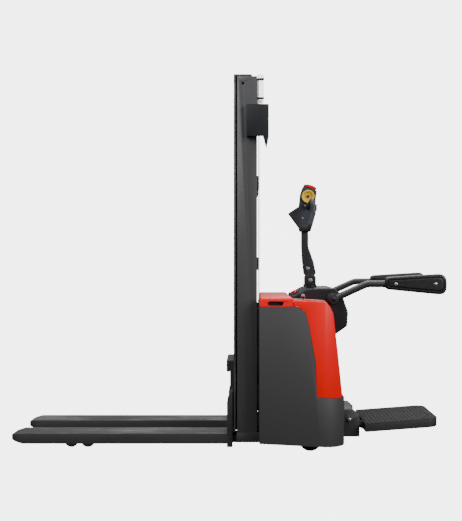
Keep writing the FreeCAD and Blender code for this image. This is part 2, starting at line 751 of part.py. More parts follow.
def side_arm(name, side):
    y = value(times(side, "side_y"))
    x = value(knuckle_x)
    z = value(knuckle_z)
    points = [Vector(x + dx, y, z + dz) for dx, dz in ((21, 9), (187, 84), (592, 84))]
    tube = document.addObject("Part::Feature", "Tube")
    tube.Shape = tube_shape(points, value("side_r"), 80)
    knuckle = rod("Y", (knuckle_x, knuckle_z), span(side, "side_y - side_r", "side_y + side_r"), 26)
    through = span(side, "side_y - side_r - 5", "side_y + side_r + 5")
    bore = rod("Y", (knuckle_x, knuckle_z), through, "9 + fit")
    node(cut(join(tube, knuckle), bore), f"side_arm_{name}")
    view = (
        (f"{knuckle_x} + 284", f"{knuckle_z} + 54"),
        (f"{knuckle_x} + 592", f"{knuckle_z} + 23"),
        (f"{knuckle_x} + 627", f"{knuckle_z} + 30"),
        (f"{knuckle_x} + 627", f"{knuckle_z} + 134"),
        (f"{knuckle_x} + 592", f"{knuckle_z} + 141"),
        (f"{knuckle_x} + 284", f"{knuckle_z} + 122"),
    )
    pad_y = span(side, "side_y - pad_half", "side_y + pad_half")
    pad = prism("XZ_Plane", view, pad_y, [((0, 2, 3, 5), 16)])
    core_x = (f"{knuckle_x} + 280", f"{knuckle_x} + 592.3")
    core = rod("X", (times(side, "side_y"), f"{knuckle_z} + 84"), core_x, "side_r + fit")
    node(cut(pad, core), f"arm_pad_{name}")


def battery_lid():
    x = (lid_x, f"{lid_x} + lid_long")
    outer = box(x, both("chassis_half"), (lid_low, "lid_top"))
    inner_x = (f"{x[0]} + skin", f"{x[1]} - skin")
    inner = box(inner_x, both("chassis_half - skin"), (f"{lid_low} - 1", "lid_top - skin"))
    middle_x = f"{lid_x} + lid_long / 2 - 6"
    middle_z = "lid_top - 31"
    cuts = [inner]
    flat = "(slot_long - slot_tall) / 2"
    across = both("chassis_half + 1")
    slot_z = (f"{middle_z} - slot_tall / 2", f"{middle_z} + slot_tall / 2")
    cuts.append(box((f"{middle_x} - {flat}", f"{middle_x} + {flat}"), across, slot_z))
    for end in (-1, 1):
        cuts.append(rod("Y", (f"{middle_x} + {end} * {flat}", middle_z), across, "slot_tall / 2"))
    node(cut(outer, *cuts), "battery_lid")


def inner_works():
    front = f"{chassis_x} + plate"
    case_x = (f"{front} + 1", "steer_x - drive_r - 22")
    case = box(case_x, both("chassis_half - 30"), (floor_top, "panel_top - 22"))
    post_z = ("panel_top - 23", "panel_top - 8")
    post_y = "chassis_half - 80"
    posts = [rod("Z", (f"{front} + 79", times(side, post_y)), post_z, 9) for label, side in SIDES]
    node(join(case, *posts), "battery")
    tank = box(("steer_x - 97", "steer_x - 17"), (200, 330), (floor_top, f"{floor_top} + 165"))
    motor = rod("Z", ("steer_x - 57", 265), (f"{floor_top} + 160", f"{floor_top} + 320"), 40)
    node(join(tank, motor), "pump_unit")


def drive_unit():
    steer = ("steer_x", 0)
    disc = rod("Z", steer, ("disc_z", "disc_z + 15"), "drive_r + 16")
    outer = "drive_wide / 2 + 5"
    parts = [disc]
    for label, side in SIDES:
        thick = 34 if side > 0 else 12
        cheek_y = span(side, outer, f"{outer} + {thick}")
        parts.append(box(("steer_x - 42", "steer_x + 42"), cheek_y, ("drive_r", "disc_z + 1")))
        parts.append(rod("Y", ("steer_x", "drive_r"), cheek_y, 42))
    parts.append(rod("Y", ("steer_x", "drive_r"), both(f"{outer} + 2"), 15))
    node(join(*parts), "drive_gearbox")
    motor = rod("Z", steer, ("disc_z + 15", "disc_z + 190"), 72)
    cap = rod("Z", steer, ("disc_z + 189", "disc_z + 210"), 50)
    node(join(motor, cap), "traction_motor")
    node(wheel("steer_x", 0, "drive_r", "drive_r", "drive_wide", "15 + fit", 4), "drive_wheel")


ear_half = "(arm_half + 11)"
spring_pin = ("steer_x - 14", "tiller_z + 68")


def tiller():
    steer = ("steer_x", 0)
    tilt = ("steer_x", "tiller_z")
    flange_z = "(tiller_z - 40.5)"
    column = rod("Z", steer, ("disc_z + 210", f"{flange_z} + 1"), "column_r")
    flange = rod("Z", steer, (flange_z, "tiller_z - 24.5"), 39)
    parts = [column, flange]
    for label, side in SIDES:
        view = (
            ("steer_x - 32", "tiller_z - 26"),
            ("steer_x + 33", "tiller_z - 26"),
            ("steer_x + 33", "tiller_z + 20"),
            ("steer_x + 16", "tiller_z + 37"),
            ("steer_x - 15", "tiller_z + 37"),
            ("steer_x - 32", "tiller_z + 20"),
        )
        ear = prism("XZ_Plane", view, span(side, "arm_half + 1", ear_half))
        parts.append(common(ear, rod("Z", steer, ("tiller_z - 27", "tiller_z + 40"), 50)))
    bore = rod("Y", tilt, both(f"{ear_half} + 2"), "pin_r + fit")
    node(cut(join(*parts), bore), "tiller_clevis")
    view = (
        ("steer_x - 15", "tiller_z + 6"),
        ("steer_x + 13", "tiller_z + 11"),
        ("steer_x + 34", "tiller_z + 40"),
        ("steer_x + 20", "tiller_z + 108"),
        ("steer_x - 11", "tiller_z + 196"),
        ("steer_x - 11", "tiller_z + 285"),
        ("steer_x - 50", "tiller_z + 285"),
        ("steer_x - 50", "tiller_z + 196"),
        ("steer_x - 45", "tiller_z + 108"),
        ("steer_x - 37", "tiller_z + 40"),
    )
    body = join(prism("XZ_Plane", view, both("arm_half")), rod("Y", tilt, both("arm_half"), 17))
    slot = box(("steer_x - 34", "steer_x - 14"), both(11), ("tiller_z + 48", "tiller_z + 270"))
    holes = [rod("Y", tilt, both("arm_half + 1"), "pin_r + fit")]
    holes.append(rod("Y", spring_pin, both("arm_half + 1"), "pin_r + fit"))
    node(cut(body, slot, *holes), "tiller_arm")
    spring = rod("Z", ("steer_x - 24", 0), ("tiller_z + 90", "tiller_z + 269.5"), 9)
    tongue = rod("Z", ("steer_x - 24", 0), ("tiller_z + 48.5", "tiller_z + 91"), 4)
    eye = rod("Y", spring_pin, both(20), "pin_r + fit")
    node(cut(join(spring, tongue), eye), "gas_spring")
    pins = [rod("Y", tilt, both(f"{ear_half} + 0.5"), "pin_r")]
    pins.append(rod("Y", spring_pin, both("arm_half"), "pin_r"))
    for label, side in SIDES:
        pins.append(rod("Y", spring_pin, span(side, "arm_half", "arm_half + 6"), "pin_r + 3"))
        pins.append(rod("Y", tilt, span(side, f"{ear_half} + 0.4", f"{ear_half} + 5"), "pin_r + 4"))
    node(join(*pins), "tiller_pins")


def tiller_head():
    view = (
        ("steer_x - 61", "tiller_z + 285"),
        ("steer_x + 2", "tiller_z + 285"),
        ("steer_x + 20", "tiller_z + 350"),
        ("steer_x + 29", "tiller_z + 404"),
        ("steer_x + 32", "tiller_z + 472"),
        ("steer_x + 39", "tiller_z + 526"),
        ("steer_x - 42", "tiller_z + 550"),
        ("steer_x - 57", "tiller_z + 504"),
        ("steer_x - 64", "tiller_z + 434"),
        ("steer_x - 66", "tiller_z + 313"),
    )
    pod = prism("XZ_Plane", view, both("pod_half"))
    nose_view = (
        ("steer_x - 62", "tiller_z + 436"),
        ("steer_x - 128", "tiller_z + 392"),
        ("steer_x - 64", "tiller_z + 306"),
        ("steer_x - 50", "tiller_z + 306"),
        ("steer_x - 50", "tiller_z + 436"),
    )
    parts = [pod, prism("XZ_Plane", nose_view, both("pod_half - 4"))]
    x = value("steer_x")
    z = value("tiller_z")
    near = value("pod_half") - 3
    far = value("grip_y")
    for label, side in SIDES:
        route = [(-22, near, 301), (-16, far, 303), (8, far, 390), (5, far, 462), (-12, near, 428)]
        points = [Vector(x + dx, side * y, z + dz) for dx, y, dz in route]
        tube = document.addObject("Part::Feature", "Loop")
        tube.Shape = tube_shape(points, value("grip_r"), 22)
        parts.append(tube)
        lug_z = ("tiller_z + 418", "tiller_z + 436")
        parts.append(box(("steer_x + 28", "steer_x + 41"), span(side, "20.5", "24.5"), lug_z))
    press = head_pin(-38, 48, 7.4)
    rocker_hole = rod("Y", rocker_axis, both(25), "rocker_r + fit")
    cap_room = prism("XZ_Plane", belly_view(39, -24, 20), both("pod_half - 4"))
    axle = rod("Y", (thumb_x, thumb_z), both("pod_half + 1"), "8 + fit")
    node(cut(join(*parts), press, cap_room, axle, rocker_hole), "tiller_head")
    cap = prism("XZ_Plane", belly_view(38.5, -13, 0), both("pod_half - 4.5"))
    stem = head_pin(-28, 20, 7)
    node(join(cap, stem), "belly_button")
    rings = []
    for label, side in SIDES:
        rings.append(ring("Y", (thumb_x, thumb_z), span(side, "pod_half + 1", "pod_half + 14"), 38, 24))
        rings.append(rod("Y", (thumb_x, thumb_z), span(side, "pod_half + 1", "pod_half + 5"), 25))
    rings.append(rod("Y", (thumb_x, thumb_z), both("pod_half + 2"), 8))
    node(join(*rings), "thumb_wheels")
    rocker = box(("steer_x + 33", "steer_x + 41"), both(20), ("tiller_z + 408", "tiller_z + 446"))
    node(join(rocker, rod("Y", rocker_axis, both(24.4), "rocker_r")), "lift_rocker")


thumb_x = "(steer_x - 14)"
thumb_z = "(tiller_z + 489)"
rocker_axis = ("steer_x + 37", "tiller_z + 427")


def belly_view(half, low, high):
    """A strip along the head's slanted top: low and high are measured square to it."""
    corners = []
    for along, out in ((-half, low), (half, low), (half, high), (-half, high)):
        place = Vector(slant.z, 0, -slant.x) * along + slant * out
        corners.append((f"{cap_x} + ({place.x:.4f})", f"{cap_z} + ({place.z:.4f})"))
    return corners


slant = Vector(0.281, 0, 0.9597)
cap_x = "(steer_x + 1.4)"
cap_z = "(tiller_z + 549.6)"


def head_pin(low, length, radius):
    """A pin square to the head's slanted top."""
    item = document.addObject("Part::Cylinder", "Pin")
    item.Placement.Rotation = Rotation(Vector(0, 0, 1), slant)
    bind(item, Radius=radius, Height=length)
    item.setExpression("Placement.Base.x", full(f"{cap_x} + ({low * slant.x:.4f})"))
    item.setExpression("Placement.Base.z", full(f"{cap_z} + ({low * slant.z:.4f})"))
    return item


def castor(name, side):
    y = times(side, "castor_y")
    axle = "steer_x + castor_back - castor_trail"
    top = "floor_z - play"
    parts = [rod("Z", ("swivel_x", y), (f"{top} - 7", top), 40)]
    for direction in (-1, 1):
        near = f"{y} + {direction} * (castor_wide / 2 + 4)"
        far = f"{y} + {direction} * (castor_wide / 2 + 10)"
        view = (
            (f"{axle} - 16", "castor_r - 12"),
            (f"{axle} + 16", "castor_r - 12"),
            ("swivel_x + 26", f"{top} - 6"),
            ("swivel_x - 26", f"{top} - 6"),
        )
        parts.append(prism("XZ_Plane", view, (near, far) if direction > 0 else (far, near)))
    axle_y = (f"{y} - castor_wide / 2 - 12", f"{y} + castor_wide / 2 + 12")
    parts.append(rod("Y", (axle, "castor_r"), axle_y, 8))
    node(join(*parts), f"castor_fork_{name}")
    node(wheel(axle, y, "castor_r", "castor_r", "castor_wide", "8 + fit", 5), f"castor_wheel_{name}")


def platform():
    hinge = ("hinge_x", "hinge_z")
    plate_x = (chassis_rear, f"{chassis_rear} + 10")
    roof_z = ("hinge_z + 49", "hinge_z + 55")
    parts = [box(plate_x, both("bracket_half"), ("hinge_z - 98", "hinge_z + 55"))]
    parts.append(box((chassis_rear, "hinge_x + 26"), both("bracket_half - 36"), roof_z))
    lug_y = ("bracket_half - 31", "bracket_half - 16")
    for label, side in SIDES:
        view = (
            (chassis_rear, "hinge_z - 98"),
            ("hinge_x + 59", "hinge_z - 98"),
            ("hinge_x + 59", "hinge_z + 25"),
            ("hinge_x + 26", "hinge_z + 55"),
            (chassis_rear, "hinge_z + 55"),
        )
        parts.append(prism("XZ_Plane", view, span(side, "bracket_half - 13", "bracket_half")))
        parts.append(rod("Y", hinge, span(side, "bracket_half - 34", "bracket_half + 1"), "hinge_r"))
        parts.append(rod("Y", hinge, span(side, "bracket_half", "bracket_half + 9"), "hinge_r + 2.5"))
    node(join(*parts), "platform_bracket")
    low = "hinge_z - 10 - deck_tall"
    top = "hinge_z - 10 - mat_thick"
    rear = "deck_front + deck_long"
    view = (("deck_front", low), (rear, f"{low} + deck_rise"), (rear, f"{top} + deck_rise"))
    view += (("deck_front", top),)
    wall = "(mat_thick - 1)"
    hollow = (
        (f"deck_front + {wall}", f"{low} - 5"),
        (f"{rear} - {wall}", f"{low} + deck_rise - 5"),
        (f"{rear} - {wall}", f"{top} + deck_rise - {wall}"),
        (f"deck_front + {wall}", f"{top} - {wall}"),
    )
    mat_top = f"{top} + mat_thick"
    mat_view = (("deck_front", top), (rear, f"{top} + deck_rise"), (rear, f"{mat_top} + deck_rise"))
    mat_view += (("deck_front", mat_top),)
    deck = cut(
        common(prism("XZ_Plane", view, both("deck_half")), deck_plan("0")),
        common(prism("XZ_Plane", hollow, both("deck_half")), deck_plan(wall)),
    )
    parts = [deck]
    for label, side in SIDES:
        lug_view = (
            ("hinge_x - 8", "hinge_z - 16"),
            ("deck_front + 2", low),
            ("deck_front + 2", f"{top} - 1"),
            ("hinge_x + 3", "hinge_z + 18"),
        )
        lug = join(prism("XZ_Plane", lug_view, span(side, *lug_y)), rod("Y", hinge, span(side, *lug_y), 18))
        bore_y = span(side, "bracket_half - 35", "bracket_half")
        parts.append(cut(lug, rod("Y", hinge, bore_y, "hinge_r + fit")))
    node(join(*parts), "platform_deck")
    node(common(prism("XZ_Plane", mat_view, both("deck_half")), deck_plan("0")), "platform_mat")


def deck_plan(inset):
    half = f"(deck_half - {inset})"
    rear = f"deck_front + deck_long - {inset}"
    front = f"deck_front + {inset}"
    corners = ((front, f"-{half}"), (rear, f"-{half}"), (rear, half), (front, half))
    return prism("XY_Plane", corners, (0, "2 * hinge_z"), [((1, 2), f"deck_round - {inset}")])


def guard():
    y = "mast_half - 4"
    parts = [box((chassis_x, f"{chassis_x} + 4"), both(y), ("panel_top - 2.5", "outer_top + 10"))]
    for label, side in SIDES:
        wing = (f"{outer_rear} + 0.5", f"{outer_rear} + 37")
        parts.append(box(wing, span(side, f"{y} - 6", y), ("outer_top - 150", "outer_top + 10")))
    node(join(*parts), "guard_panel")
    side = -1
    rear = f"{outer_rear} + 64"
    wide = span(side, "mast_half", "mast_half + 42")
    inside = span(side, "mast_half - 1", "mast_half + 38")
    cover = cut(
        box((f"{outer_x} + 52", rear), wide, ("outer_top - 337", "outer_top - 161")),
        box((f"{outer_x} + 56", f"{rear} - 4"), inside, ("outer_top - 338", "outer_top - 165")),
    )
    fin_view = (
        (f"{rear} - 32", "outer_top - 338"),
        (f"{rear} - 32", "outer_top - 300"),
        (rear, "outer_top - 300"),
        (rear, "outer_top - 338"),
        (f"{rear} - 14", "outer_top - 407"),
    )
    fin = prism("XZ_Plane", fin_view, span(side, "mast_half + 36", "mast_half + 42"))
    parts = [cover, fin]
    for label, side in SIDES:
        for low in ("outer_top - 128", "outer_top - 23"):
            clamp_x = (f"{outer_rear} + 0.5", f"{outer_rear} + 39")
            parts.append(box(clamp_x, span(side, y, "mast_half + 1"), (low, f"{low} + 12")))
    node(join(*parts), "mast_fittings")


def stop_pin(radius, low, length):
    """A cylinder square to the console's front slope, low measured up from the slope."""
    item = document.addObject("Part::Cylinder", "Button")
    item.Placement.Rotation = Rotation(Vector(0, 0, 1), Vector(-0.427, 0, 0.904))
    bind(item, Radius=radius, Height=length)
    item.setExpression("Placement.Base.x", full(f"{lid_x} + lid_long + 28 - ({low}) * 0.427"))
    item.setExpression("Placement.Base.y", "-120")
    item.setExpression("Placement.Base.z", full(f"lid_top + 12.5 + ({low}) * 0.904"))
    return item


def controls():
    node(join(stop_pin("stop_r", -6, 15), stop_pin("stop_r + 7", 8, 12)), "emergency_stop")
    place = ("steer_x - 58", "lid_top + 8")
    barrel = rod("Y", place, span(-1, "console_half + play", "console_half + 11"), 9)
    blade_y = span(-1, "console_half + 10", "console_half + 30")
    blade = box(("steer_x - 60", "steer_x - 56"), blade_y, ("lid_top + 3", "lid_top + 13"))
    node(join(barrel, blade), "key_switch")


for label, side in SIDES:
    outer_rail(label, side)
    inner_rail(label, side)
    fork(label, side)
    leg(label, side)
    bogie(label, side)
    side_arm(label, side)
    castor(label, side)
inner_crossbars()
outer_crossbars()
lift_cylinders()
chains()
carriage_frame()
mast_rollers("foot_rollers", foot_x, foot_z, foot_r, f"{web_out} + 3 + roller_wide / 2")
roller_y = f"{web_in} - 1.5 - roller_wide / 2"
for label in ("low", "high"):
    mast_rollers(f"carriage_rollers_{label}", inner_mid, f"roller_{label}", mast_roller_r, roller_y)
base_frame()
body_shell()
motor_cover()
console()
battery_lid()
inner_works()
drive_unit()
tiller()
tiller_head()
platform()
guard()
controls()

document.recompute()
for item in document.Objects:
    if "Invalid" in item.State or "Error" in item.State:
        raise RuntimeError(f"{item.Name} {item.Label} failed: {item.State}")
for item in nodes:
    if item.Shape.isNull() or not item.Shape.isValid():
        raise RuntimeError(f"{item.Label} has no valid shape")

os.makedirs("parts", exist_ok=True)
for item in nodes:
    item.Shape.exportStep(f"parts/{item.Label}.step")
box_all = FreeCAD.BoundBox()
for item in nodes:
    box_all.add(item.Shape.BoundBox)
print(len(nodes), "sub-parts", box_all)
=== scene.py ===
import json
import math

import bmesh
import bpy
from mathutils import Matrix, Vector


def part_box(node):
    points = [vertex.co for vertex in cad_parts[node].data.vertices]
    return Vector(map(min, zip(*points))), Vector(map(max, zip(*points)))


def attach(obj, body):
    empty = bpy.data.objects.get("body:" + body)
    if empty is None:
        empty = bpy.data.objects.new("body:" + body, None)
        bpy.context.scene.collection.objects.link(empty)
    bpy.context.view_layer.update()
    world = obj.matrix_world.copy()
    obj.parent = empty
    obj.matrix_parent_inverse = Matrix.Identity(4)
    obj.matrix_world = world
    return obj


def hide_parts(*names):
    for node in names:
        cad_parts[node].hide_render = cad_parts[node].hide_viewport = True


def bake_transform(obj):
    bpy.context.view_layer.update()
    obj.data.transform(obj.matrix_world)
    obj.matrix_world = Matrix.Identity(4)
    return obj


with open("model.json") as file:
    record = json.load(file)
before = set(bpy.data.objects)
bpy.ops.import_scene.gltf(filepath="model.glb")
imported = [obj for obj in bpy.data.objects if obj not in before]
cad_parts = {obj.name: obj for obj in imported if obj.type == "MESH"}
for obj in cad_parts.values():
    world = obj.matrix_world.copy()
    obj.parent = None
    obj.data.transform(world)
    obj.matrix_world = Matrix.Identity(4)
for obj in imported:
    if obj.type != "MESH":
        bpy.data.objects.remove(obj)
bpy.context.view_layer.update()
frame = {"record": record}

# ---- Studio ---------------------------------------------------------------------------
# A white paper background seen straight by the camera, dimmer as a light and darker from
# below, with large soft lamps above and on both sides. The camera stands at chest height,
# square to the truck's left flank.

middle_x = 0.124
camera_back = 4.970
camera_up = 1.052

camera_data = bpy.data.cameras.new("side_camera")
camera_data.lens = 58.16
camera_data.sensor_width = 36
camera_data.shift_x = -0.0365
camera_data.clip_end = 100
camera = bpy.data.objects.new("side_camera", camera_data)
camera.location = (middle_x, -camera_back, camera_up)
camera.rotation_euler = (math.radians(90), 0, 0)
bpy.context.scene.collection.objects.link(camera)
bpy.context.scene.camera = camera


def soft_lamp(name, place, aim, power, wide):
    """A square soft box that faces the point it is aimed at."""
    data = bpy.data.lights.new(name, "AREA")
    data.energy = power
    data.size = wide
    lamp = bpy.data.objects.new(name, data)
    lamp.location = place
    lamp.rotation_mode = "QUATERNION"
    lamp.rotation_quaternion = (Vector(aim) - Vector(place)).to_track_quat("-Z", "Y")
    bpy.context.scene.collection.objects.link(lamp)


chest = (0.2, 0, 0.8)
soft_lamp("key_lamp", (-2.6, -3.4, 4.2), chest, 190, 2.6)
soft_lamp("fill_lamp", (3.6, -3.0, 2.6), chest, 200, 2.6)
soft_lamp("rim_lamp", (1.2, 4.0, 3.6), chest, 70, 2.4)
soft_lamp("top_lamp", (0.0, 0.0, 5.2), chest, 210, 3.2)

world = bpy.data.worlds.new("white_room")
world.use_nodes = True
paper = world.node_tree.nodes["Background"]
paper.inputs["Color"].default_value = (1, 1, 1, 1)
seen = world.node_tree.nodes.new("ShaderNodeLightPath")
level = world.node_tree.nodes.new("ShaderNodeMapRange")
level.inputs["To Max"].default_value = 5.0
heading = world.node_tree.nodes.new("ShaderNodeTexCoord")
axes = world.node_tree.nodes.new("ShaderNodeSeparateXYZ")
dome = world.node_tree.nodes.new("ShaderNodeMapRange")
for socket, number in (("From Min", -0.25), ("From Max", 0.35), ("To Min", 0.05), ("To Max", 0.27)):
    dome.inputs[socket].default_value = number
world.node_tree.links.new(heading.outputs["Generated"], axes.inputs["Vector"])
world.node_tree.links.new(axes.outputs["Z"], dome.inputs["Value"])
world.node_tree.links.new(dome.outputs["Result"], level.inputs["To Min"])
world.node_tree.links.new(seen.outputs["Is Camera Ray"], level.inputs["Value"])
world.node_tree.links.new(level.outputs["Result"], paper.inputs["Strength"])
bpy.context.scene.world = world

# ---- Welded frame ---------------------------------------------------------------------
# Mast beam, bulkhead, floor plate, support legs and carriage: cut and welded steel plate
# with eased edges under satin charcoal paint that is a little dustier near the floor.

bodies = frame["record"]["behaviour"]["bodies"]
body_of = {node: body for body, parts in bodies.items() for node in parts}


class Shade:
    """A socket in a material's node tree that can be used in Python sums."""

    def __init__(self, tree, socket=None):
        self.tree = tree
        self.socket = socket

    def add(self, kind, settings=None, inputs=None, out=0):
        """Adds any node: its settings come first, then its sockets' values or links."""
        made = self.tree.nodes.new("ShaderNode" + kind)
        for name, setting in (settings or {}).items():
            if name == "stops":
                ramp = made.color_ramp.elements
                while len(ramp) < len(setting):
                    ramp.new(0.5)
                for stop, (place, colour) in zip(ramp, setting):
                    stop.position = place
                    stop.color = (*colour, 1)
            else:
                setattr(made, name, setting)
        for name, given in (inputs or {}).items():
            if isinstance(given, Shade):
                self.tree.links.new(given.socket, made.inputs[name])
            elif isinstance(given, tuple) and len(given) == 3 and made.inputs[name].type == "RGBA":
                made.inputs[name].default_value = (*given, 1)
            else:
                made.inputs[name].default_value = given
        return Shade(self.tree, made.outputs[out])

    def sum(self, operation, first, second, clamp=False):
        settings = {"operation": operation, "use_clamp": clamp}
        return self.add("Math", settings, {0: first, 1: second})

    def __add__(self, other):
        return self.sum("ADD", self, other)

    def __radd__(self, other):
        return self.sum("ADD", other, self)

    def __sub__(self, other):
        return self.sum("SUBTRACT", self, other)

    def __rsub__(self, other):
        return self.sum("SUBTRACT", other, self)

    def __mul__(self, other):
        return self.sum("MULTIPLY", self, other)

    def __rmul__(self, other):
        return self.sum("MULTIPLY", other, self)

    def band(self, low, high):
        """0 below low, 1 above high, smooth between."""
        limits = {"Value": self, "From Min": low, "From Max": high}
        return self.add("MapRange", {"interpolation_type": "SMOOTHSTEP"}, limits)

    def blend(self, first, second):
        """Mixes two colours by this socket."""
        return self.add("Mix", {"data_type": "RGBA"}, {"Factor": self, 6: first, 7: second}, 2)


def grain(shade, size, detail=3, stretch=(1, 1, 1), rough=0.5):
    """Noise over the piece's own metres: size is the blotch size, stretch lengthens it."""
    place = shade.add("TexCoord", out=3)
    scale = tuple(1 / part for part in stretch)
    place = shade.add("Mapping", None, {"Vector": place, "Scale": scale})
    settings = {"Vector": place, "Scale": 1 / size, "Detail": detail, "Roughness": rough}
    return shade.add("TexNoise", None, settings)


def finish(name, colour, roughness, bump=None, metallic=0.0, **fixed):
    """A material whose colour and roughness may vary and whose bump is (height, metres)."""
    made = bpy.data.materials.new(name)
    made.use_nodes = True
    tree = made.node_tree
    shader = tree.nodes["Principled BSDF"]
    shade = Shade(tree)
    for socket, given in (("Base Color", colour), ("Roughness", roughness), ("Metallic", metallic)):
        if callable(given):
            given = given(shade)
        if isinstance(given, Shade):
            tree.links.new(given.socket, shader.inputs[socket])
        elif isinstance(given, tuple):
            shader.inputs[socket].default_value = (*given, 1)
        else:
            shader.inputs[socket].default_value = given
    if bump:
        height, depth = bump
        bent = shade.add("Bump", None, {"Height": height(shade), "Distance": depth, "Strength": 1.0})
        tree.links.new(bent.socket, shader.inputs["Normal"])
    for socket, given in fixed.items():
        shader.inputs[socket.replace("_", " ")].default_value = given
    return made


def charcoal(shade, low=0.030, high=0.042):
    """Charcoal paint with faint blotches, and dust on the lowest hand's width."""
    paint = grain(shade, 0.25, 4).blend((low, low, low * 1.03), (high, high, high * 1.03))
    height = shade.add("SeparateXYZ", None, {0: shade.add("TexCoord", out=3)}, 2)
    dust = (1 - height.band(0.02, 0.16)) * grain(shade, 0.03, 5).band(0.45, 0.75) * 0.18
    return dust.blend(paint, (0.16, 0.15, 0.14))


def orange_peel(shade):
    return grain(shade, 0.0025, 2)


frame_paint = finish(
    "frame_paint",
    charcoal,
    lambda s: 0.40 + grain(s, 0.08, 4) * 0.16,
    (orange_peel, 0.00012),
)


def merged_copy(node):
    """A copy of a CAD part with its loose triangles joined and its flats made whole."""
    shape = bmesh.new()
    shape.from_mesh(bpy.data.objects[node].data)
    bmesh.ops.remove_doubles(shape, verts=shape.verts, dist=0.00001)
    bmesh.ops.dissolve_limit(shape, angle_limit=math.radians(0.6), verts=shape.verts, edges=shape.edges)
    return shape


def as_piece(name, mesh, material, body, *nodes):
    """Puts a finished mesh in the scene, on its body, in place of the CAD parts it stands for."""
    mesh.materials.clear()
    mesh.materials.append(material)
    piece = bpy.data.objects.new(name, mesh)
    bpy.context.scene.collection.objects.link(piece)
    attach(piece, body)
    if nodes:
        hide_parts(*nodes)
    return piece


def applied(piece):
    """The piece's mesh with its modifiers worked in."""
    found = piece.evaluated_get(bpy.context.evaluated_depsgraph_get())
    mesh = bpy.data.meshes.new_from_object(found)
    piece.modifiers.clear()
    return mesh


def eased(node, material, edge=0.0015, rings=2, turn=35):
    """The CAD part with every sharp edge rounded by the given radius."""
    shape = merged_copy(node)
    mesh = bpy.data.meshes.new(node + "_eased")
    shape.to_mesh(mesh)
    shape.free()
    draft = bpy.data.objects.new(node + "_draft", mesh)
    bpy.context.scene.collection.objects.link(draft)
    bevel = draft.modifiers.new("edges", "BEVEL")
    bevel.width = edge
    bevel.segments = rings
    bevel.limit_method = "ANGLE"
    bevel.angle_limit = math.radians(turn)
    bevel.harden_normals = False
    finished = applied(draft)
    bpy.data.objects.remove(draft)
    for face in finished.polygons:
        face.use_smooth = True
    finished.set_sharp_from_angle(angle=math.radians(38))
    return as_piece(node + "_made", finished, material, body_of[node], node)


for part in ("base_frame", "leg_left", "leg_right", "platform_bracket", "bogie_left", "bogie_right"):
    eased(part, frame_paint)
eased("carriage_frame", frame_paint, 0.003, 3)

# ---- Mast -----------------------------------------------------------------------------
# Hot-rolled channel and beam sections in the same paint, the inner mast's running faces
# rubbed bright by the rollers, tied by welded crossbars.

def rubbed(shade):
    """Paint worn to steel in long upright streaks where rollers run."""
    streaks = grain(shade, 0.006, 4, (1, 1, 40)).band(0.56, 0.74)
    return streaks.blend(charcoal(shade), (0.22, 0.22, 0.225))


mast_paint = finish(
    "mast_paint",
    lambda s: grain(s, 0.5, 3, (1, 1, 3)).blend((0.036, 0.036, 0.038), (0.056, 0.056, 0.059)),
    lambda s: 0.36 + grain(s, 0.06, 4, (1, 1, 6)) * 0.2,
    (orange_peel, 0.0001),
)
inner_paint = finish(
    "inner_paint",
    rubbed,
    lambda s: 0.34 + grain(s, 0.03, 4, (1, 1, 12)) * 0.2,
    (orange_peel, 0.0001),
)
for side in ("left", "right"):
    eased("outer_rail_" + side, mast_paint, 0.004, 3)
    eased("inner_rail_" + side, inner_paint, 0.003, 2)
eased("inner_crossbars", mast_paint, 0.002)
eased("outer_crossbars", mast_paint, 0.002)

# ---- Forks ----------------------------------------------------------------------------
# Pressed and welded steel forks in charcoal paint. Pallet boards have scuffed it off their
# upper faces in long thin scratches, which are painted extra bright to also stand for the highlight on
# the tops.

def scuffs_and_top_highlight(shade):
    """Scratches along the fork's length, only on faces that look up: real wear, brightened as painted
    highlight.
    """
    lines = grain(shade, 0.004, 5, (60, 1, 1), 0.7).band(0.46, 0.66)
    patches = grain(shade, 0.12, 3, (3, 1, 1)).band(0.35, 0.7)
    upward = shade.add("SeparateXYZ", None, {0: shade.add("NewGeometry", out=1)}, 2).band(0.7, 0.95)
    return lines * patches * upward


def fork_colour(shade):
    """Charcoal paint with bare steel in the scratches, whose brightness on the tops is partly painted
    highlight.
    """
    paint = grain(shade, 0.2, 4).blend((0.030, 0.030, 0.031), (0.044, 0.044, 0.045))
    # Bare steel in the scratches, bright enough to also paint the highlight on the fork tops.
    return (scuffs_and_top_highlight(shade) * 0.95).blend(paint, (0.46, 0.46, 0.465))


fork_paint = finish(
    "fork_paint",
    fork_colour,
    lambda s: 0.38 + grain(s, 0.02, 4, (6, 1, 1)) * 0.18,
    (orange_peel, 0.0001),
    lambda s: scuffs_and_top_highlight(s) * 0.7,
)
for side in ("left", "right"):
    eased("fork_" + side, fork_paint, 0.0025, 3)

# ---- Lift chains ----------------------------------------------------------------------
# Leaf chains of stamped plates on pins: from the anchors on the outer mast over the two
# sheaves and down to the carriage. The straight runs are one link repeated by a node tree.

chain_steel = finish(
    "chain_steel",
    lambda s: grain(s, 0.006, 3).blend((0.10, 0.098, 0.095), (0.24, 0.235, 0.23)),
    lambda s: 0.32 + grain(s, 0.004, 2) * 0.25,
    (lambda s: grain(s, 0.002, 2), 0.0001),
    0.9,
)
link_pitch = 0.0159
plate_thick = 0.0024


def slab_mesh(name, low, high):
    """A box mesh between two corners, its faces pointing out."""
    mesh = bpy.data.meshes.new(name)
    shape = bmesh.new()
    bmesh.ops.create_cube(shape, size=1)
    size = Vector(high) - Vector(low)
    centre = (Vector(high) + Vector(low)) / 2
    placed = Matrix.Translation(centre) @ Matrix.Diagonal((*size, 1))
    bmesh.ops.transform(shape, matrix=placed, verts=shape.verts)
    shape.to_mesh(mesh)
    shape.free()
    return mesh


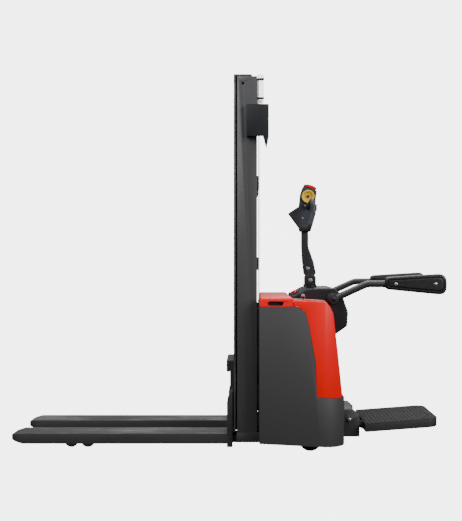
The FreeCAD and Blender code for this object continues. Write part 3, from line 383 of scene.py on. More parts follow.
def spun(name, profile, centre, steps=48, axis="Y"):
    """A closed outline of (along, radius) pairs turned about an axis through the centre."""
    shape = bmesh.new()
    rings = []
    for step in range(steps):
        turn = 2 * math.pi * step / steps
        ring = []
        for along, radius in profile:
            across, up = radius * math.cos(turn), radius * math.sin(turn)
            local = {"X": (along, across, up), "Y": (across, along, up), "Z": (across, up, along)}[axis]
            ring.append(shape.verts.new(Vector(centre) + Vector(local)))
        rings.append(ring)
    count = len(profile)
    for step in range(steps):
        here, after = rings[step], rings[(step + 1) % steps]
        for spot in range(count):
            nearby = (spot + 1) % count
            shape.faces.new((here[spot], after[spot], after[nearby], here[nearby]))
    bmesh.ops.remove_doubles(shape, verts=shape.verts, dist=0.000001)
    bmesh.ops.dissolve_degenerate(shape, edges=shape.edges, dist=0.000001)
    bmesh.ops.recalc_face_normals(shape, faces=shape.faces)
    mesh = bpy.data.meshes.new(name)
    shape.to_mesh(mesh)
    shape.free()
    for face in mesh.polygons:
        face.use_smooth = True
    mesh.set_sharp_from_angle(angle=math.radians(38))
    return mesh


def welded(name, *meshes):
    """Several meshes as one, each kept as its own closed shell."""
    shape = bmesh.new()
    for mesh in meshes:
        shape.from_mesh(mesh)
    joined = bpy.data.meshes.new(name)
    shape.to_mesh(joined)
    shape.free()
    for face in joined.polygons:
        face.use_smooth = True
    joined.set_sharp_from_angle(angle=math.radians(38))
    return joined


def link_mesh():
    """One link, upright at the origin: four plates across and the pin through them."""
    parts = []
    for order, across in enumerate((-0.0065, -0.0022, 0.0022, 0.0065)):
        shift = 0.25 * link_pitch if order % 2 else -0.25 * link_pitch
        low = (-0.0052, across - plate_thick / 2, shift - 0.62 * link_pitch)
        high = (0.0052, across + plate_thick / 2, shift + 0.62 * link_pitch)
        parts.append(slab_mesh("plate", low, high))
    for place in (-0.25, 0.25):
        pin = [(-0.0082, 0), (-0.0082, 0.0026), (0.0082, 0.0026), (0.0082, 0)]
        parts.append(spun("pin", pin, (0, 0, place * link_pitch), 10))
    return welded("link", *parts)


def row_tree():
    """A node tree that sets copies of an object in an even row."""
    tree = bpy.data.node_groups.new("even_row", "GeometryNodeTree")
    face = tree.interface
    face.new_socket("Unit", in_out="INPUT", socket_type="NodeSocketObject")
    face.new_socket("Count", in_out="INPUT", socket_type="NodeSocketInt")
    face.new_socket("Start", in_out="INPUT", socket_type="NodeSocketVector")
    face.new_socket("Step", in_out="INPUT", socket_type="NodeSocketVector")
    face.new_socket("Material", in_out="INPUT", socket_type="NodeSocketMaterial")
    face.new_socket("Row", in_out="OUTPUT", socket_type="NodeSocketGeometry")
    given = tree.nodes.new("NodeGroupInput").outputs
    line = tree.nodes.new("GeometryNodeMeshLine")
    unit = tree.nodes.new("GeometryNodeObjectInfo")
    copies = tree.nodes.new("GeometryNodeInstanceOnPoints")
    real = tree.nodes.new("GeometryNodeRealizeInstances")
    coat = tree.nodes.new("GeometryNodeSetMaterial")
    result = tree.nodes.new("NodeGroupOutput")
    wires = (
        (given["Count"], line.inputs["Count"]),
        (given["Start"], line.inputs["Start Location"]),
        (given["Step"], line.inputs["Offset"]),
        (given["Unit"], unit.inputs["Object"]),
        (line.outputs["Mesh"], copies.inputs["Points"]),
        (unit.outputs["Geometry"], copies.inputs["Instance"]),
        (copies.outputs["Instances"], real.inputs["Geometry"]),
        (real.outputs["Geometry"], coat.inputs["Geometry"]),
        (given["Material"], coat.inputs["Material"]),
        (coat.outputs["Geometry"], result.inputs["Row"]),
    )
    for start, end in wires:
        tree.links.new(start, end)
    return tree


even_row = row_tree()


def row_mesh(name, unit, count, start, step, material):
    """The unit mesh repeated count times from start by step, as one plain mesh."""
    pattern = bpy.data.objects.new(name + "_unit", unit)
    holder = bpy.data.objects.new(name + "_row", bpy.data.meshes.new(name))
    for item in (pattern, holder):
        bpy.context.scene.collection.objects.link(item)
    rows = holder.modifiers.new("row", "NODES")
    rows.node_group = even_row
    given = {"Unit": pattern, "Count": count, "Start": start, "Step": step, "Material": material}
    for socket in even_row.interface.items_tree:
        if socket.in_out == "INPUT":
            rows[socket.identifier] = given[socket.name]
    mesh = applied(holder)
    bpy.data.objects.remove(holder)
    bpy.data.objects.remove(pattern)
    for face in mesh.polygons:
        face.use_smooth = True
    mesh.set_sharp_from_angle(angle=math.radians(38))
    return mesh


def two_runs(name, node):
    """Both strands of one kind, each filling its CAD bar from end to end."""
    low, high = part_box(node)
    middle = (low.x + high.x) / 2
    count = round((high.z - low.z) / link_pitch) - 1
    first = low.z + (high.z - low.z - (count - 1) * link_pitch) / 2
    link = link_mesh()
    runs = []
    for side in (-1, 1):
        start = (middle, side * (high.y - 0.008), first)
        runs.append(row_mesh(name, link.copy(), count, start, (0, 0, link_pitch), chain_steel))
    return welded(name, *runs), low, high


def strand_piece(name, mesh):
    """Both strands as one object on no body, for a chain that runs between two bodies."""
    mesh.materials.clear()
    mesh.materials.append(chain_steel)
    piece = bpy.data.objects.new(name, mesh)
    bpy.context.scene.collection.objects.link(piece)
    return piece


front_mesh, low, high = two_runs("front_strands", "front_chains")
front_strands = strand_piece("front_strands", front_mesh)
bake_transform(front_strands)
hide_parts("front_chains")

rear_mesh, low, high = two_runs("rear_strands", "rear_chains")
rear_strands = strand_piece("rear_strands", rear_mesh)
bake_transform(rear_strands)
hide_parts("rear_chains")

# ---- Sheaves and mast rollers ---------------------------------------------------------
# Turned steel sheaves with the chain lying in their grooves, and hardened rollers that run
# in the mast's channels, with chamfered rims and a bearing set back in each side.

rolled_steel = finish(
    "rolled_steel",
    lambda s: grain(s, 0.01, 4).blend((0.30, 0.30, 0.31), (0.48, 0.48, 0.49)),
    lambda s: 0.22 + grain(s, 0.006, 3) * 0.22,
    (lambda s: grain(s, 0.003, 2), 0.00006),
    0.95,
)
sheave_low, sheave_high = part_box("chain_sheaves")
sheave_centre = (sheave_low + sheave_high) / 2
wrap_radius = sheave_centre.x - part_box("front_chains")[0].x - 0.006
sheave_aside = 0.12
wrap_links = 8
turns = []
for side in (-1, 1):
    for step in range(wrap_links):
        angle = math.pi * (step + 0.5) / wrap_links
        turned_link = link_mesh()
        place = Vector((math.cos(angle), 0, math.sin(angle))) * wrap_radius
        place += Vector((sheave_centre.x, side * sheave_aside, sheave_centre.z))
        turned_link.transform(Matrix.Translation(place) @ Matrix.Rotation(-angle, 4, "Y"))
        turns.append(turned_link)
as_piece("chain_turns", welded("chain_turns", *turns), chain_steel, "inner_mast")
eased("chain_sheaves", rolled_steel, 0.0006, 1)


def mast_roller(node, half_wide, body):
    """A pair of rollers: barrels with chamfered rims and a bearing set back in each side."""
    low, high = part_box(node)
    radius = (high.z - low.z) / 2
    meshes = []
    for side in (-1, 1):
        centre = ((low.x + high.x) / 2, side * (high.y - half_wide), (low.z + high.z) / 2)
        rim = [
            (-half_wide, 0.0145),
            (-half_wide + 0.002, radius * 0.62),
            (-half_wide, radius * 0.66),
            (-half_wide, radius - 0.003),
            (-half_wide + 0.003, radius),
            (half_wide - 0.003, radius),
            (half_wide, radius - 0.003),
            (half_wide, radius * 0.66),
            (half_wide - 0.002, radius * 0.62),
            (half_wide, 0.0145),
        ]
        meshes.append(spun("roller", rim, centre, 56))
    as_piece(node + "_made", welded(node, *meshes), rolled_steel, body, node)


for node in ("foot_rollers", "carriage_rollers_low", "carriage_rollers_high"):
    mast_roller(node, 0.017, node)

# ---- Lift cylinders -------------------------------------------------------------------
# Painted barrels with a ribbed gland nut at the top, and hard-chromed rods that carry
# the inner mast.

hard_chrome = finish(
    "hard_chrome",
    lambda s: grain(s, 0.3, 2, (1, 1, 6)).blend((0.62, 0.62, 0.63), (0.70, 0.70, 0.71)),
    lambda s: 0.10 + grain(s, 0.01, 3, (1, 1, 30)) * 0.08,
    (lambda s: grain(s, 0.0015, 2, (1, 1, 12)), 0.00002),
    1.0,
)
eased("lift_cylinders", mast_paint, 0.001, 2)
eased("lift_rods", hard_chrome, 0.001, 2)
low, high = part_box("lift_cylinders")
cylinder_radius = 0.020
nut = [(-0.030, 0.0195)]
for rib in range(6):
    base = -0.030 + rib * 0.005
    nut += [(base, 0.0202), (base + 0.0008, 0.0206), (base + 0.0040, 0.0206), (base + 0.0048, 0.0202)]
nut.append((0.0, 0.0195))
for side, label in ((-1, "left"), (1, "right")):
    spot = ((low.x + high.x) / 2, side * (high.y - cylinder_radius), high.z)
    gland = spun("gland_nut_" + label, nut, spot, 40, "Z")
    as_piece("gland_nut_" + label, gland, rolled_steel, "chassis")

# ---- Guard and mast fittings ----------------------------------------------------------
# A clear polycarbonate screen behind the mast with a folded wing at each side, held by
# black clamps, and a black moulded cover on the cables at the left.

clear_sheet = finish(
    "clear_sheet",
    lambda s: grain(s, 0.4, 3).blend((0.80, 0.83, 0.85), (0.90, 0.92, 0.93)),
    lambda s: 0.10 + grain(s, 0.05, 4, (1, 1, 5)) * 0.12,
    (lambda s: grain(s, 0.15, 2), 0.0004),
    Alpha=0.34,
    Specular_IOR_Level=0.6,
)
eased("guard_panel", clear_sheet, 0.0008, 1)


def pebble(shade):
    """Fine leather-like grain of a moulded plastic skin."""
    place = shade.add("TexCoord", out=3)
    cells = shade.add("TexVoronoi", {"feature": "SMOOTH_F1"}, {"Vector": place, "Scale": 900.0})
    return cells * 0.7 + grain(shade, 0.0008, 2) * 0.5


black_moulding = finish(
    "black_moulding",
    lambda s: grain(s, 0.12, 3).blend((0.0045, 0.0058, 0.0078), (0.009, 0.0108, 0.0138)),
    lambda s: 0.44 + grain(s, 0.02, 3) * 0.14,
    (pebble, 0.00012),
    Specular_IOR_Level=0.32,
)
eased("mast_fittings", black_moulding, 0.005, 3)

# ---- Side panel -----------------------------------------------------------------------
# One sheet-steel skin wraps the sides and the foot of the rear, powder coated dark grey
# with a fine texture, its edges eased.

panel_coat = finish(
    "panel_coat",
    lambda s: grain(s, 0.6, 3).blend((0.036, 0.036, 0.037), (0.046, 0.046, 0.048)),
    lambda s: 0.50 + grain(s, 0.01, 3) * 0.12,
    (lambda s: grain(s, 0.0016, 3), 0.00018),
)
eased("body_shell", panel_coat, 0.002, 3)

# ---- Motor cover and battery lid ------------------------------------------------------
# Red moulded covers with a satin gloss: the motor cover leans back over the drive unit,
# and the lid lifts off the battery by a finger slot on each side, its inside painted near-black as
# painted shade.

red_gloss = finish(
    "red_gloss",
    lambda s: grain(s, 0.35, 3).blend((0.82, 0.0010, 0.0030), (0.90, 0.0018, 0.0045)),
    lambda s: 0.30 + grain(s, 0.05, 4) * 0.10,
    (lambda s: grain(s, 0.0012, 2) * 0.3 + grain(s, 0.05, 2), 0.00008),
    Specular_IOR_Level=0.3,
)
eased("motor_cover", red_gloss, 0.003, 3)


def soft_topped(node, material, radius, rings):
    """The CAD part with only the rim of its top rounded, by a large radius."""
    shape = merged_copy(node)
    roof = max(corner.co.z for corner in shape.verts) - 0.0001
    rim = []
    for edge in shape.edges:
        sides = [face.normal.z for face in edge.link_faces]
        if min(corner.co.z for corner in edge.verts) > roof and min(sides) < 0.5:
            rim.append(edge)
    bmesh.ops.bevel(shape, geom=rim, offset=radius, segments=rings, profile=0.5, affect="EDGES")
    mesh = bpy.data.meshes.new(node + "_soft")
    shape.to_mesh(mesh)
    shape.free()
    for face in mesh.polygons:
        face.use_smooth = True
    mesh.set_sharp_from_angle(angle=math.radians(38))
    return as_piece(node + "_made", mesh, material, body_of[node], node)


soft_topped("battery_lid", red_gloss, 0.012, 6)

# Near-black inside the finger slots: painted shade in the recess.
slot_painted_shade = finish(
    "slot_painted_shade",
    lambda s: grain(s, 0.02, 3).blend((0.006, 0.006, 0.007), (0.014, 0.014, 0.015)),
    lambda s: 0.6 + grain(s, 0.01, 3) * 0.15,
    (pebble, 0.0001),
)
lid_low, lid_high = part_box("battery_lid")
slot_x = (lid_low.x + lid_high.x) / 2 - 0.006
slot_z = lid_high.z - 0.031


def oval_ring(long, tall, border, near, far):
    """A hollow cup with round ends: rim, side walls and a floor set back from the face."""
    shape = bmesh.new()
    steps = 40
    flat = max(long - tall, 0) / 2
    loops = []
    for grow, depth in ((border, near), (0, near), (-0.0008, far), (-long, far)):
        loop = []
        for step in range(steps):
            turn = 2 * math.pi * step / steps
            radius = max(tall / 2 + grow, 0.0005)
            along = radius * math.cos(turn)
            if grow > -long:
                along += math.copysign(flat, math.cos(turn))
            loop.append(shape.verts.new((along, depth, radius * math.sin(turn))))
        loops.append(loop)
    for first, second in zip(loops, loops[1:]):
        for step in range(steps):
            after = (step + 1) % steps
            shape.faces.new((first[step], first[after], second[after], second[step]))
    shape.faces.new(loops[-1])
    mesh = bpy.data.meshes.new("oval")
    shape.to_mesh(mesh)
    shape.free()
    return mesh


slot_long, slot_tall = 0.0842, 0.0222
cup_deep = 0.016
cups = []
for side in (-1, 1):
    cup = oval_ring(slot_long, slot_tall, 0.0005, 0.0, cup_deep)
    if side > 0:
        cup.transform(Matrix.Rotation(math.pi, 4, "Z"))
    cup.transform(Matrix.Translation((slot_x, side * (lid_high.y - 0.0045), slot_z)))
    cups.append(cup)
as_piece("finger_cups", welded("finger_cups", *cups), slot_painted_shade, "battery_lid")

# ---- Console --------------------------------------------------------------------------
# A black moulded console saddles the top of the motor cover. A light grey bead seals its
# joint with the red cover, and a small charge gauge sits behind the tiller.


def moulded(node, material, cell, passes, reach=None):
    """The CAD part as a soft-edged moulding: remeshed in small cells and smoothed. With a
    reach of (axis, low, high), nothing stands outside these heights, counted along the axis
    from the part's top."""
    shape = merged_copy(node)
    if reach:
        axis, low, high = reach
        top = max(corner.co.dot(axis) for corner in shape.verts)
        for corner in shape.verts:
            height = corner.co.dot(axis) - top
            corner.co += axis * (min(max(height, low), high) - height)
    mesh = bpy.data.meshes.new(node + "_moulded")
    shape.to_mesh(mesh)
    shape.free()
    draft = bpy.data.objects.new(node + "_draft", mesh)
    bpy.context.scene.collection.objects.link(draft)
    cells = draft.modifiers.new("cells", "REMESH")
    cells.mode = "VOXEL"
    cells.voxel_size = cell
    soft = draft.modifiers.new("soft", "SMOOTH")
    soft.factor = 0.5
    soft.iterations = passes
    finished = applied(draft)
    bpy.data.objects.remove(draft)
    for face in finished.polygons:
        face.use_smooth = True
    return as_piece(node + "_made", finished, material, body_of[node], node)


moulded("console", black_moulding, 0.0038, 7)


def pipe(name, points, radius):
    """A round wire along the points, as a mesh with closed ends."""
    data = bpy.data.curves.new(name, "CURVE")
    data.dimensions = "3D"
    data.bevel_depth = radius
    data.bevel_resolution = 6
    data.use_fill_caps = True
    line = data.splines.new("POLY")
    line.points.add(len(points) - 1)
    for spot, place in zip(line.points, points):
        spot.co = (*place, 1)
    draft = bpy.data.objects.new(name, data)
    bpy.context.scene.collection.objects.link(draft)
    mesh = applied(draft)
    bpy.data.objects.remove(draft)
    return mesh


console_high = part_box("console")[1]
bead_grey = finish(
    "bead_grey",
    lambda s: grain(s, 0.03, 3).blend((0.36, 0.37, 0.38), (0.46, 0.47, 0.48)),
    lambda s: 0.5 + grain(s, 0.01, 3) * 0.15,
    (lambda s: grain(s, 0.001, 2), 0.00005),
)
bead_y = 0.2622
bead_line = (
    (0.362, 0.8375),
    (0.45, 0.833),
    (0.530, 0.8285),
    (0.541, 0.8265),
    (0.5555, 0.8075),
    (0.574, 0.773),
    (0.582, 0.728),
    (0.5915, 0.645),
)
beads = []
for side in (-1, 1):
    beads.append(pipe("bead", [(x, side * bead_y, z) for x, z in bead_line], 0.0022))
as_piece("cover_beads", welded("cover_beads", *beads), bead_grey, "chassis")

screw_steel = finish(
    "screw_steel",
    lambda s: grain(s, 0.01, 3).blend((0.42, 0.42, 0.43), (0.60, 0.60, 0.61)),
    lambda s: 0.24 + grain(s, 0.004, 2) * 0.2,
    (lambda s: grain(s, 0.002, 2), 0.00005),
    1.0,
)


def cap_screw(place, facing, radius, tall):
    """A domed button-head screw with a hexagon socket, standing on a face."""
    socket = radius * 0.42
    profile = [
        (0.0, 0.0),
        (0.0, radius),
        (tall * 0.35, radius),
        (tall * 0.8, radius * 0.82),
        (tall, radius * 0.55),
        (tall, socket),
        (tall * 0.45, socket * 0.96),
        (tall * 0.45, 0.0),
    ]
    mesh = spun("screw", profile, (0, 0, 0), 30, "Z")
    turn = Vector((0, 0, 1)).rotation_difference(Vector(facing)).to_matrix().to_4x4()
    mesh.transform(Matrix.Translation(Vector(place)) @ turn)
    return mesh


def screws(name, places, facing, radius, tall, body, material=screw_steel):
    """A set of equal screws on one body."""
    heads = []
    for place in places:
        way = (0, math.copysign(1, place[1]), 0) if facing is None else facing
        heads.append(cap_screw(place, way, radius, tall))
    return as_piece(name, welded(name, *heads), material, body)


boss_x, boss_z = 0.588, 0.838
boss_faces = [(boss_x, side * console_high.y, boss_z) for side in (-1, 1)]
screws("arm_pivot_caps", boss_faces, None, 0.009, 0.003, "chassis", black_moulding)
gauge_glass = finish(
    "gauge_glass",
    lambda s: grain(s, 0.02, 2).blend((0.010, 0.012, 0.014), (0.020, 0.024, 0.028)),
    lambda s: 0.08 + grain(s, 0.02, 3) * 0.06,
    (lambda s: grain(s, 0.02, 2), 0.00001),
    Coat_Weight=0.6,
)
gauge_spot = (0.560, 0.075, console_high.z - 0.0016)
bezel = [(0.0, 0.0), (0.0, 0.030), (0.0018, 0.0295), (0.0022, 0.0265), (0.0012, 0.0255), (0.0012, 0.0)]
as_piece("gauge", spun("gauge", bezel, gauge_spot, 48, "Z"), gauge_glass, "chassis")

# ---- Emergency stop and key -----------------------------------------------------------
# A red mushroom button in a black collar stands square to the console's front slope. The
# key switch sits at the left with a steel key and its ring.

button_red = finish(
    "button_red",
    lambda s: grain(s, 0.02, 3).blend((0.62, 0.010, 0.010), (0.74, 0.016, 0.014)),
    lambda s: 0.26 + grain(s, 0.006, 3) * 0.12,
    (lambda s: grain(s, 0.002, 2), 0.00003),
    Coat_Weight=0.4,
)
signal_yellow = finish(
    "signal_yellow",
    lambda s: grain(s, 0.02, 3).blend((0.60, 0.36, 0.012), (0.70, 0.44, 0.020)),
    lambda s: 0.36 + grain(s, 0.006, 3) * 0.14,
    (lambda s: grain(s, 0.0015, 2), 0.00005),
)
stop_lean, stop_rise = 0.427, 0.904
button_radius = 0.020
stop_axis = Vector((-stop_lean, 0, stop_rise)).normalized()
stop_turn = Vector((0, 0, 1)).rotation_difference(stop_axis).to_matrix().to_4x4()
stop_low, stop_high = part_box("emergency_stop")
stop_middle = (stop_low + stop_high) / 2
stop_half = ((stop_high.z - stop_low.z) - 2 * button_radius * stop_lean) / 2 / stop_rise
mushroom = [
    (0.008 - stop_half, 0.0),
    (0.008 - stop_half, 0.0115),
    (stop_half - 0.0108, 0.0115),
    (stop_half - 0.0103, 0.0165),
    (stop_half - 0.0092, 0.0196),
    (stop_half - 0.0060, 0.0198),
    (stop_half - 0.0030, 0.0186),
    (stop_half - 0.0008, 0.0150),
    (stop_half - 0.0002, 0.0080),
    (stop_half - 0.0010, 0.0),
]
button = spun("mushroom", mushroom, (0, 0, 0), 56, "Z")
button.transform(Matrix.Translation(stop_middle) @ stop_turn)
as_piece("stop_button", button, button_red, "emergency_stop", "emergency_stop")
collar_ring = [(0.0, 0.0205), (0.0, 0.0250), (0.0012, 0.0250), (0.0018, 0.0242), (0.0018, 0.0205)]
collar = spun("collar", collar_ring, (0, 0, 0), 56, "Z")
collar.transform(Matrix.Translation(stop_middle + stop_axis * (stop_half - 0.0178)) @ stop_turn)
as_piece("stop_collar", collar, black_moulding, "chassis")

eased("key_switch", screw_steel, 0.0006, 2)
key_low, key_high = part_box("key_switch")
key_z = (key_low.z + key_high.z) / 2
key_x = (key_low.x + key_high.x) / 2
ring_radius = 0.011
ring_steps = 40
ring_points = []
for step in range(ring_steps + 1):
    turn = 2 * math.pi * step / ring_steps
    ring_x = key_x + ring_radius * math.sin(turn)
    ring_z = key_z - ring_radius + ring_radius * math.cos(turn)
    ring_points.append((ring_x, key_low.y + 0.006, ring_z))
as_piece("key_ring", pipe("key_ring", ring_points, 0.0009), screw_steel, "key_switch")

# ---- Tiller ---------------------------------------------------------------------------
# A cast clevis on the steering column carries the black tiller arm on a bright pin. A gas
# spring in the arm lifts it back upright.

black_satin = finish(
    "black_satin",
    lambda s: grain(s, 0.2, 3).blend((0.010, 0.012, 0.015), (0.016, 0.018, 0.022)),
    lambda s: 0.34 + grain(s, 0.02, 3) * 0.14,
    (orange_peel, 0.00008),
)
eased("tiller_clevis", black_satin, 0.002, 3)
eased("tiller_arm", black_satin, 0.005, 4)
eased("tiller_pins", screw_steel, 0.0015, 3)
eased("gas_spring", hard_chrome, 0.0008, 2)

# ---- Tiller head ----------------------------------------------------------------------
# A soft-cornered moulding with a hand loop at each side, textured black and painted a lighter
# blue-grey as painted highlight, joined from two shells by small screws. A crowned red belly button
# closes its top, and yellow thumb wheels and a rocker are pinned through it.

# The head's black moulding painted lighter and bluish: a painted highlight.
head_moulding_painted_highlight = finish(
    "head_moulding_painted_highlight",
    lambda s: grain(s, 0.12, 3).blend((0.020, 0.024, 0.031), (0.032, 0.038, 0.048)),
    lambda s: 0.40 + grain(s, 0.02, 3) * 0.14,
    (pebble, 0.00012),
    Specular_IOR_Level=0.45,
)
press_axis = Vector((0.281, 0, 0.9597))
cap_thick = 0.010
cap_proud = 0.003
moulded("tiller_head", head_moulding_painted_highlight, 0.0024, 7, (press_axis, -1, -cap_proud))
head_half = 0.0478
screw_spots = []
for side in (-1, 1):
    for x, z in ((0.432, 1.300), (0.446, 1.372)):
        screw_spots.append((x, side * head_half, z))
screws("head_screws", screw_spots, None, 0.0042, 0.0016, "tiller")

cap = moulded("belly_button", button_red, 0.0016, 6, (press_axis, -cap_thick, 0))
cap_across = Vector((press_axis.z, 0, -press_axis.x))
cap_heights = [corner.co.dot(press_axis) for corner in cap.data.vertices]
cap_widths = [corner.co.dot(cap_across) for corner in cap.data.vertices]
cap_top = max(cap_heights)
cap_middle = sum(cap_widths) / len(cap_widths)
cap_half = max(cap_widths) - cap_middle
cap_crown = 0.008
cap_draft = 0.025
for corner, height, width in zip(cap.data.vertices, cap_heights, cap_widths):
    aside = (width - cap_middle) / cap_half
    share = 1 + (height - cap_top) / cap_thick
    taper = cap_draft * (1 - share)
    corner.co += press_axis * cap_crown * share * max(1 - aside**2, 0)
    corner.co -= cap_across * taper * aside * cap_half
    corner.co.y *= 1 - taper

thumb_low, thumb_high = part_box("thumb_wheels")
thumb_middle = (thumb_low + thumb_high) / 2
thumb_reach = thumb_high.y
thumb_outline = (
    (-0.0130, 0.0240),
    (-0.0130, 0.0355),
    (-0.0110, 0.0378),
    (-0.0020, 0.0378),
    (0.0, 0.0350),
    (-0.0004, 0.0290),
    (-0.0030, 0.0250),
    (-0.0090, 0.0235),
    (-0.0090, 0.0),
    (-0.0130, 0.0),
)
thumb_ribs = 20
rims = []
for side in (-1, 1):
    shaped = [(side * (thumb_reach + along), radius) for along, radius in thumb_outline]
    rims.append(spun("rim", shaped, (thumb_middle.x, 0, thumb_middle.z), 60))
    for step in range(thumb_ribs):
        turn = 2 * math.pi * step / thumb_ribs
        rib = slab_mesh("rib", (-0.0011, -0.0038, 0.0366), (0.0011, 0.0038, 0.0380))
        centre = Vector((thumb_middle.x, side * (thumb_reach - 0.0065), thumb_middle.z))
        rib.transform(Matrix.Translation(centre) @ Matrix.Rotation(turn, 4, "Y"))
        rims.append(rib)
as_piece("thumb_rims", welded("thumb_rims", *rims), signal_yellow, "thumb_wheels", "thumb_wheels")
axle = [(-0.0600, 0.0), (-0.0600, 0.0078), (0.0600, 0.0078), (0.0600, 0.0)]
as_piece("thumb_axle", spun("thumb_axle", axle, thumb_middle, 30), black_satin, "thumb_wheels")
eased("lift_rocker", signal_yellow, 0.002, 3)

# ---- Side arms ------------------------------------------------------------------------
# Bent steel tubes hinge up from bosses on the console; each carries a thick moulded pad
# with a pressed outline and two screws on its outer face.

tube_black = finish(
    "tube_black",
    lambda s: grain(s, 0.2, 3).blend((0.018, 0.018, 0.020), (0.028, 0.028, 0.030)),
    lambda s: 0.30 + grain(s, 0.015, 3) * 0.12,
    (orange_peel, 0.0001),
)
for side in ("left", "right"):
    eased("side_arm_" + side, tube_black, 0.002, 3, 40)

pad_skin = finish(
    "pad_skin",
    lambda s: grain(s, 0.15, 3).blend((0.0055, 0.0058, 0.0065), (0.010, 0.0105, 0.0115)),
    lambda s: 0.30 + grain(s, 0.03, 3) * 0.14,
    (pebble, 0.00014),
    Specular_IOR_Level=0.4,
)


def rounded_path(corners, radii, steps=8):
    """A closed path through the corners, each rounded off by its own radius."""
    path = []
    count = len(corners)
    for spot, radius in enumerate(radii):
        before, here, after = (Vector(corners[(spot + shift) % count]) for shift in (-1, 0, 1))
        enter = here + (before - here).normalized() * radius
        leave = here + (after - here).normalized() * radius
        for step in range(steps + 1):
            share = step / steps
            path.append(enter.lerp(here, share).lerp(here.lerp(leave, share), share))
    return path


pad_low, pad_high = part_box("arm_pad_left")
pad_screws = (0.931, 1.150)
pad_screw_z = 0.922
pad_outline = ((0.872, 0.892), (1.215, 0.8585), (1.215, 0.9805), (0.872, 0.960))
pad_radii = (0.028, 0.050, 0.050, 0.028)


def inset(outline, margin):
    """The outline's corners moved in so that every side stands the margin inside."""
    count = len(outline)
    moved = []
    for spot in range(count):
        before, here, after = (Vector(outline[(spot + shift) % count]) for shift in (-1, 0, 1))
        entering, leaving = (here - before).normalized(), (after - here).normalized()
        inward = Vector((-entering.y, entering.x)) + Vector((-leaving.y, leaving.x))
        moved.append(here + inward * margin / (1 + entering.dot(leaving)))
    return moved


def arm_pad(label, side):
    """A crowned pad: stacked rings, widest in the middle, with a groove on the outer face."""
    half = (pad_high.y - pad_low.y) / 2
    middle_y = side * (abs(pad_low.y) + abs(pad_high.y)) / 2
    shape = bmesh.new()
    rings = []
    stations = (
        (-half, 0.030),
        (-half + 0.0012, 0.013),
        (-half + 0.0040, 0.0045),
        (-half * 0.70, 0.0008),
        (-half * 0.35, 0.0),
        (half * 0.35, 0.0),
        (half * 0.70, 0.0008),
        (half - 0.0046, 0.0040),
        (half - 0.0014, 0.0090),
        (half - 0.0006, 0.0135),
        (half - 0.0010, 0.0150),
        (half - 0.0062, 0.0165),
        (half - 0.0062, 0.0190),
        (half - 0.0010, 0.0205),
        (half, 0.0235),
        (half, 0.0310),
    )
    for across, margin in stations:
        radii = [max(radius - margin, 0.003) for radius in pad_radii]
        path = rounded_path(inset(pad_outline, margin), radii)
        rings.append([shape.verts.new((spot.x, middle_y + side * across, spot.y)) for spot in path])
    for first, second in zip(rings, rings[1:]):
        count = len(first)
        for spot in range(count):
            after = (spot + 1) % count
            shape.faces.new((first[spot], first[after], second[after], second[spot]))
    shape.faces.new(rings[0])
    shape.faces.new(rings[-1])
    bmesh.ops.recalc_face_normals(shape, faces=shape.faces)
    mesh = bpy.data.meshes.new("arm_pad_" + label)
    shape.to_mesh(mesh)
    shape.free()
    for face in mesh.polygons:
        face.use_smooth = True
    draft = bpy.data.objects.new("pad_draft", mesh)
    bpy.context.scene.collection.objects.link(draft)
    finer = draft.modifiers.new("finer", "SUBSURF")
    finer.levels = 1
    finished = applied(draft)
    bpy.data.objects.remove(draft)
    for face in finished.polygons:
        face.use_smooth = True
    pad = as_piece("pad_" + label, finished, pad_skin, "side_arm_" + label, "arm_pad_" + label)
    spots = [(x, middle_y + side * (half - 0.0008), pad_screw_z) for x in pad_screws]
    screws("pad_screws_" + label, spots, None, 0.0088, 0.0030, "side_arm_" + label)


arm_pad("left", -1)
arm_pad("right", 1)

# ---- Platform -------------------------------------------------------------------------
# A folding steel platform on a pinned bracket. Its rubber mat has raised ribs across and a
# smooth border.

platform_paint = finish(
    "platform_paint",
    lambda s: charcoal(s, 0.018, 0.028),
    lambda s: 0.42 + grain(s, 0.02, 3) * 0.16,
    (orange_peel, 0.00012),
)
mat_rubber = finish(
    "mat_rubber",
    lambda s: grain(s, 0.08, 4).blend((0.010, 0.010, 0.0105), (0.020, 0.020, 0.021)),
    lambda s: 0.66 + grain(s, 0.02, 3) * 0.18,
    (lambda s: grain(s, 0.0012, 3), 0.0002),
    Specular_IOR_Level=0.3,
)
eased("platform_deck", platform_paint, 0.003, 3)
hinge_x, hinge_z = 0.6905, 0.144
hinge_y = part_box("platform_bracket")[1].y
hinge_spots = [(hinge_x, side * hinge_y, hinge_z) for side in (-1, 1)]
screws("hinge_caps", hinge_spots, None, 0.0105, 0.0030, "chassis")
mat_low, mat_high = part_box("platform_mat")
mat_thick = 0.006
rise = (mat_high.z - mat_low.z - mat_thick) / (mat_high.x - mat_low.x)


def mat_rib(place, thick):
    """A rib across the mat at a given X, shorter where the rear corners are rounded."""
    corner = 0.060
    beyond = max(place + 0.012 - (mat_high.x - corner), 0.0)
    cut_in = corner - math.sqrt(max(corner**2 - beyond**2, 0.0))
    half = mat_high.y - 0.012 - cut_in
    shape = bmesh.new()
    flat = thick * 0.28
    profile = ((-thick / 2, -0.0030), (-flat, -0.0002), (flat, -0.0002), (thick / 2, -0.0030))
    ends = []
    for reach in (-half, half):
        ends.append([shape.verts.new((place + x, reach, mat_top(place + x) + z)) for x, z in profile])
    for spot in range(4):
        after = (spot + 1) % 4
        shape.faces.new((ends[0][spot], ends[0][after], ends[1][after], ends[1][spot]))
    shape.faces.new(ends[0][::-1])
    shape.faces.new(ends[1])
    bmesh.ops.recalc_face_normals(shape, faces=shape.faces)
    mesh = bpy.data.meshes.new("rib")
    shape.to_mesh(mesh)
    shape.free()
    return mesh


def mat_top(place):
    """Height of the mat's upper face at a given X."""
    return mat_low.z + mat_thick + (place - mat_low.x) * rise


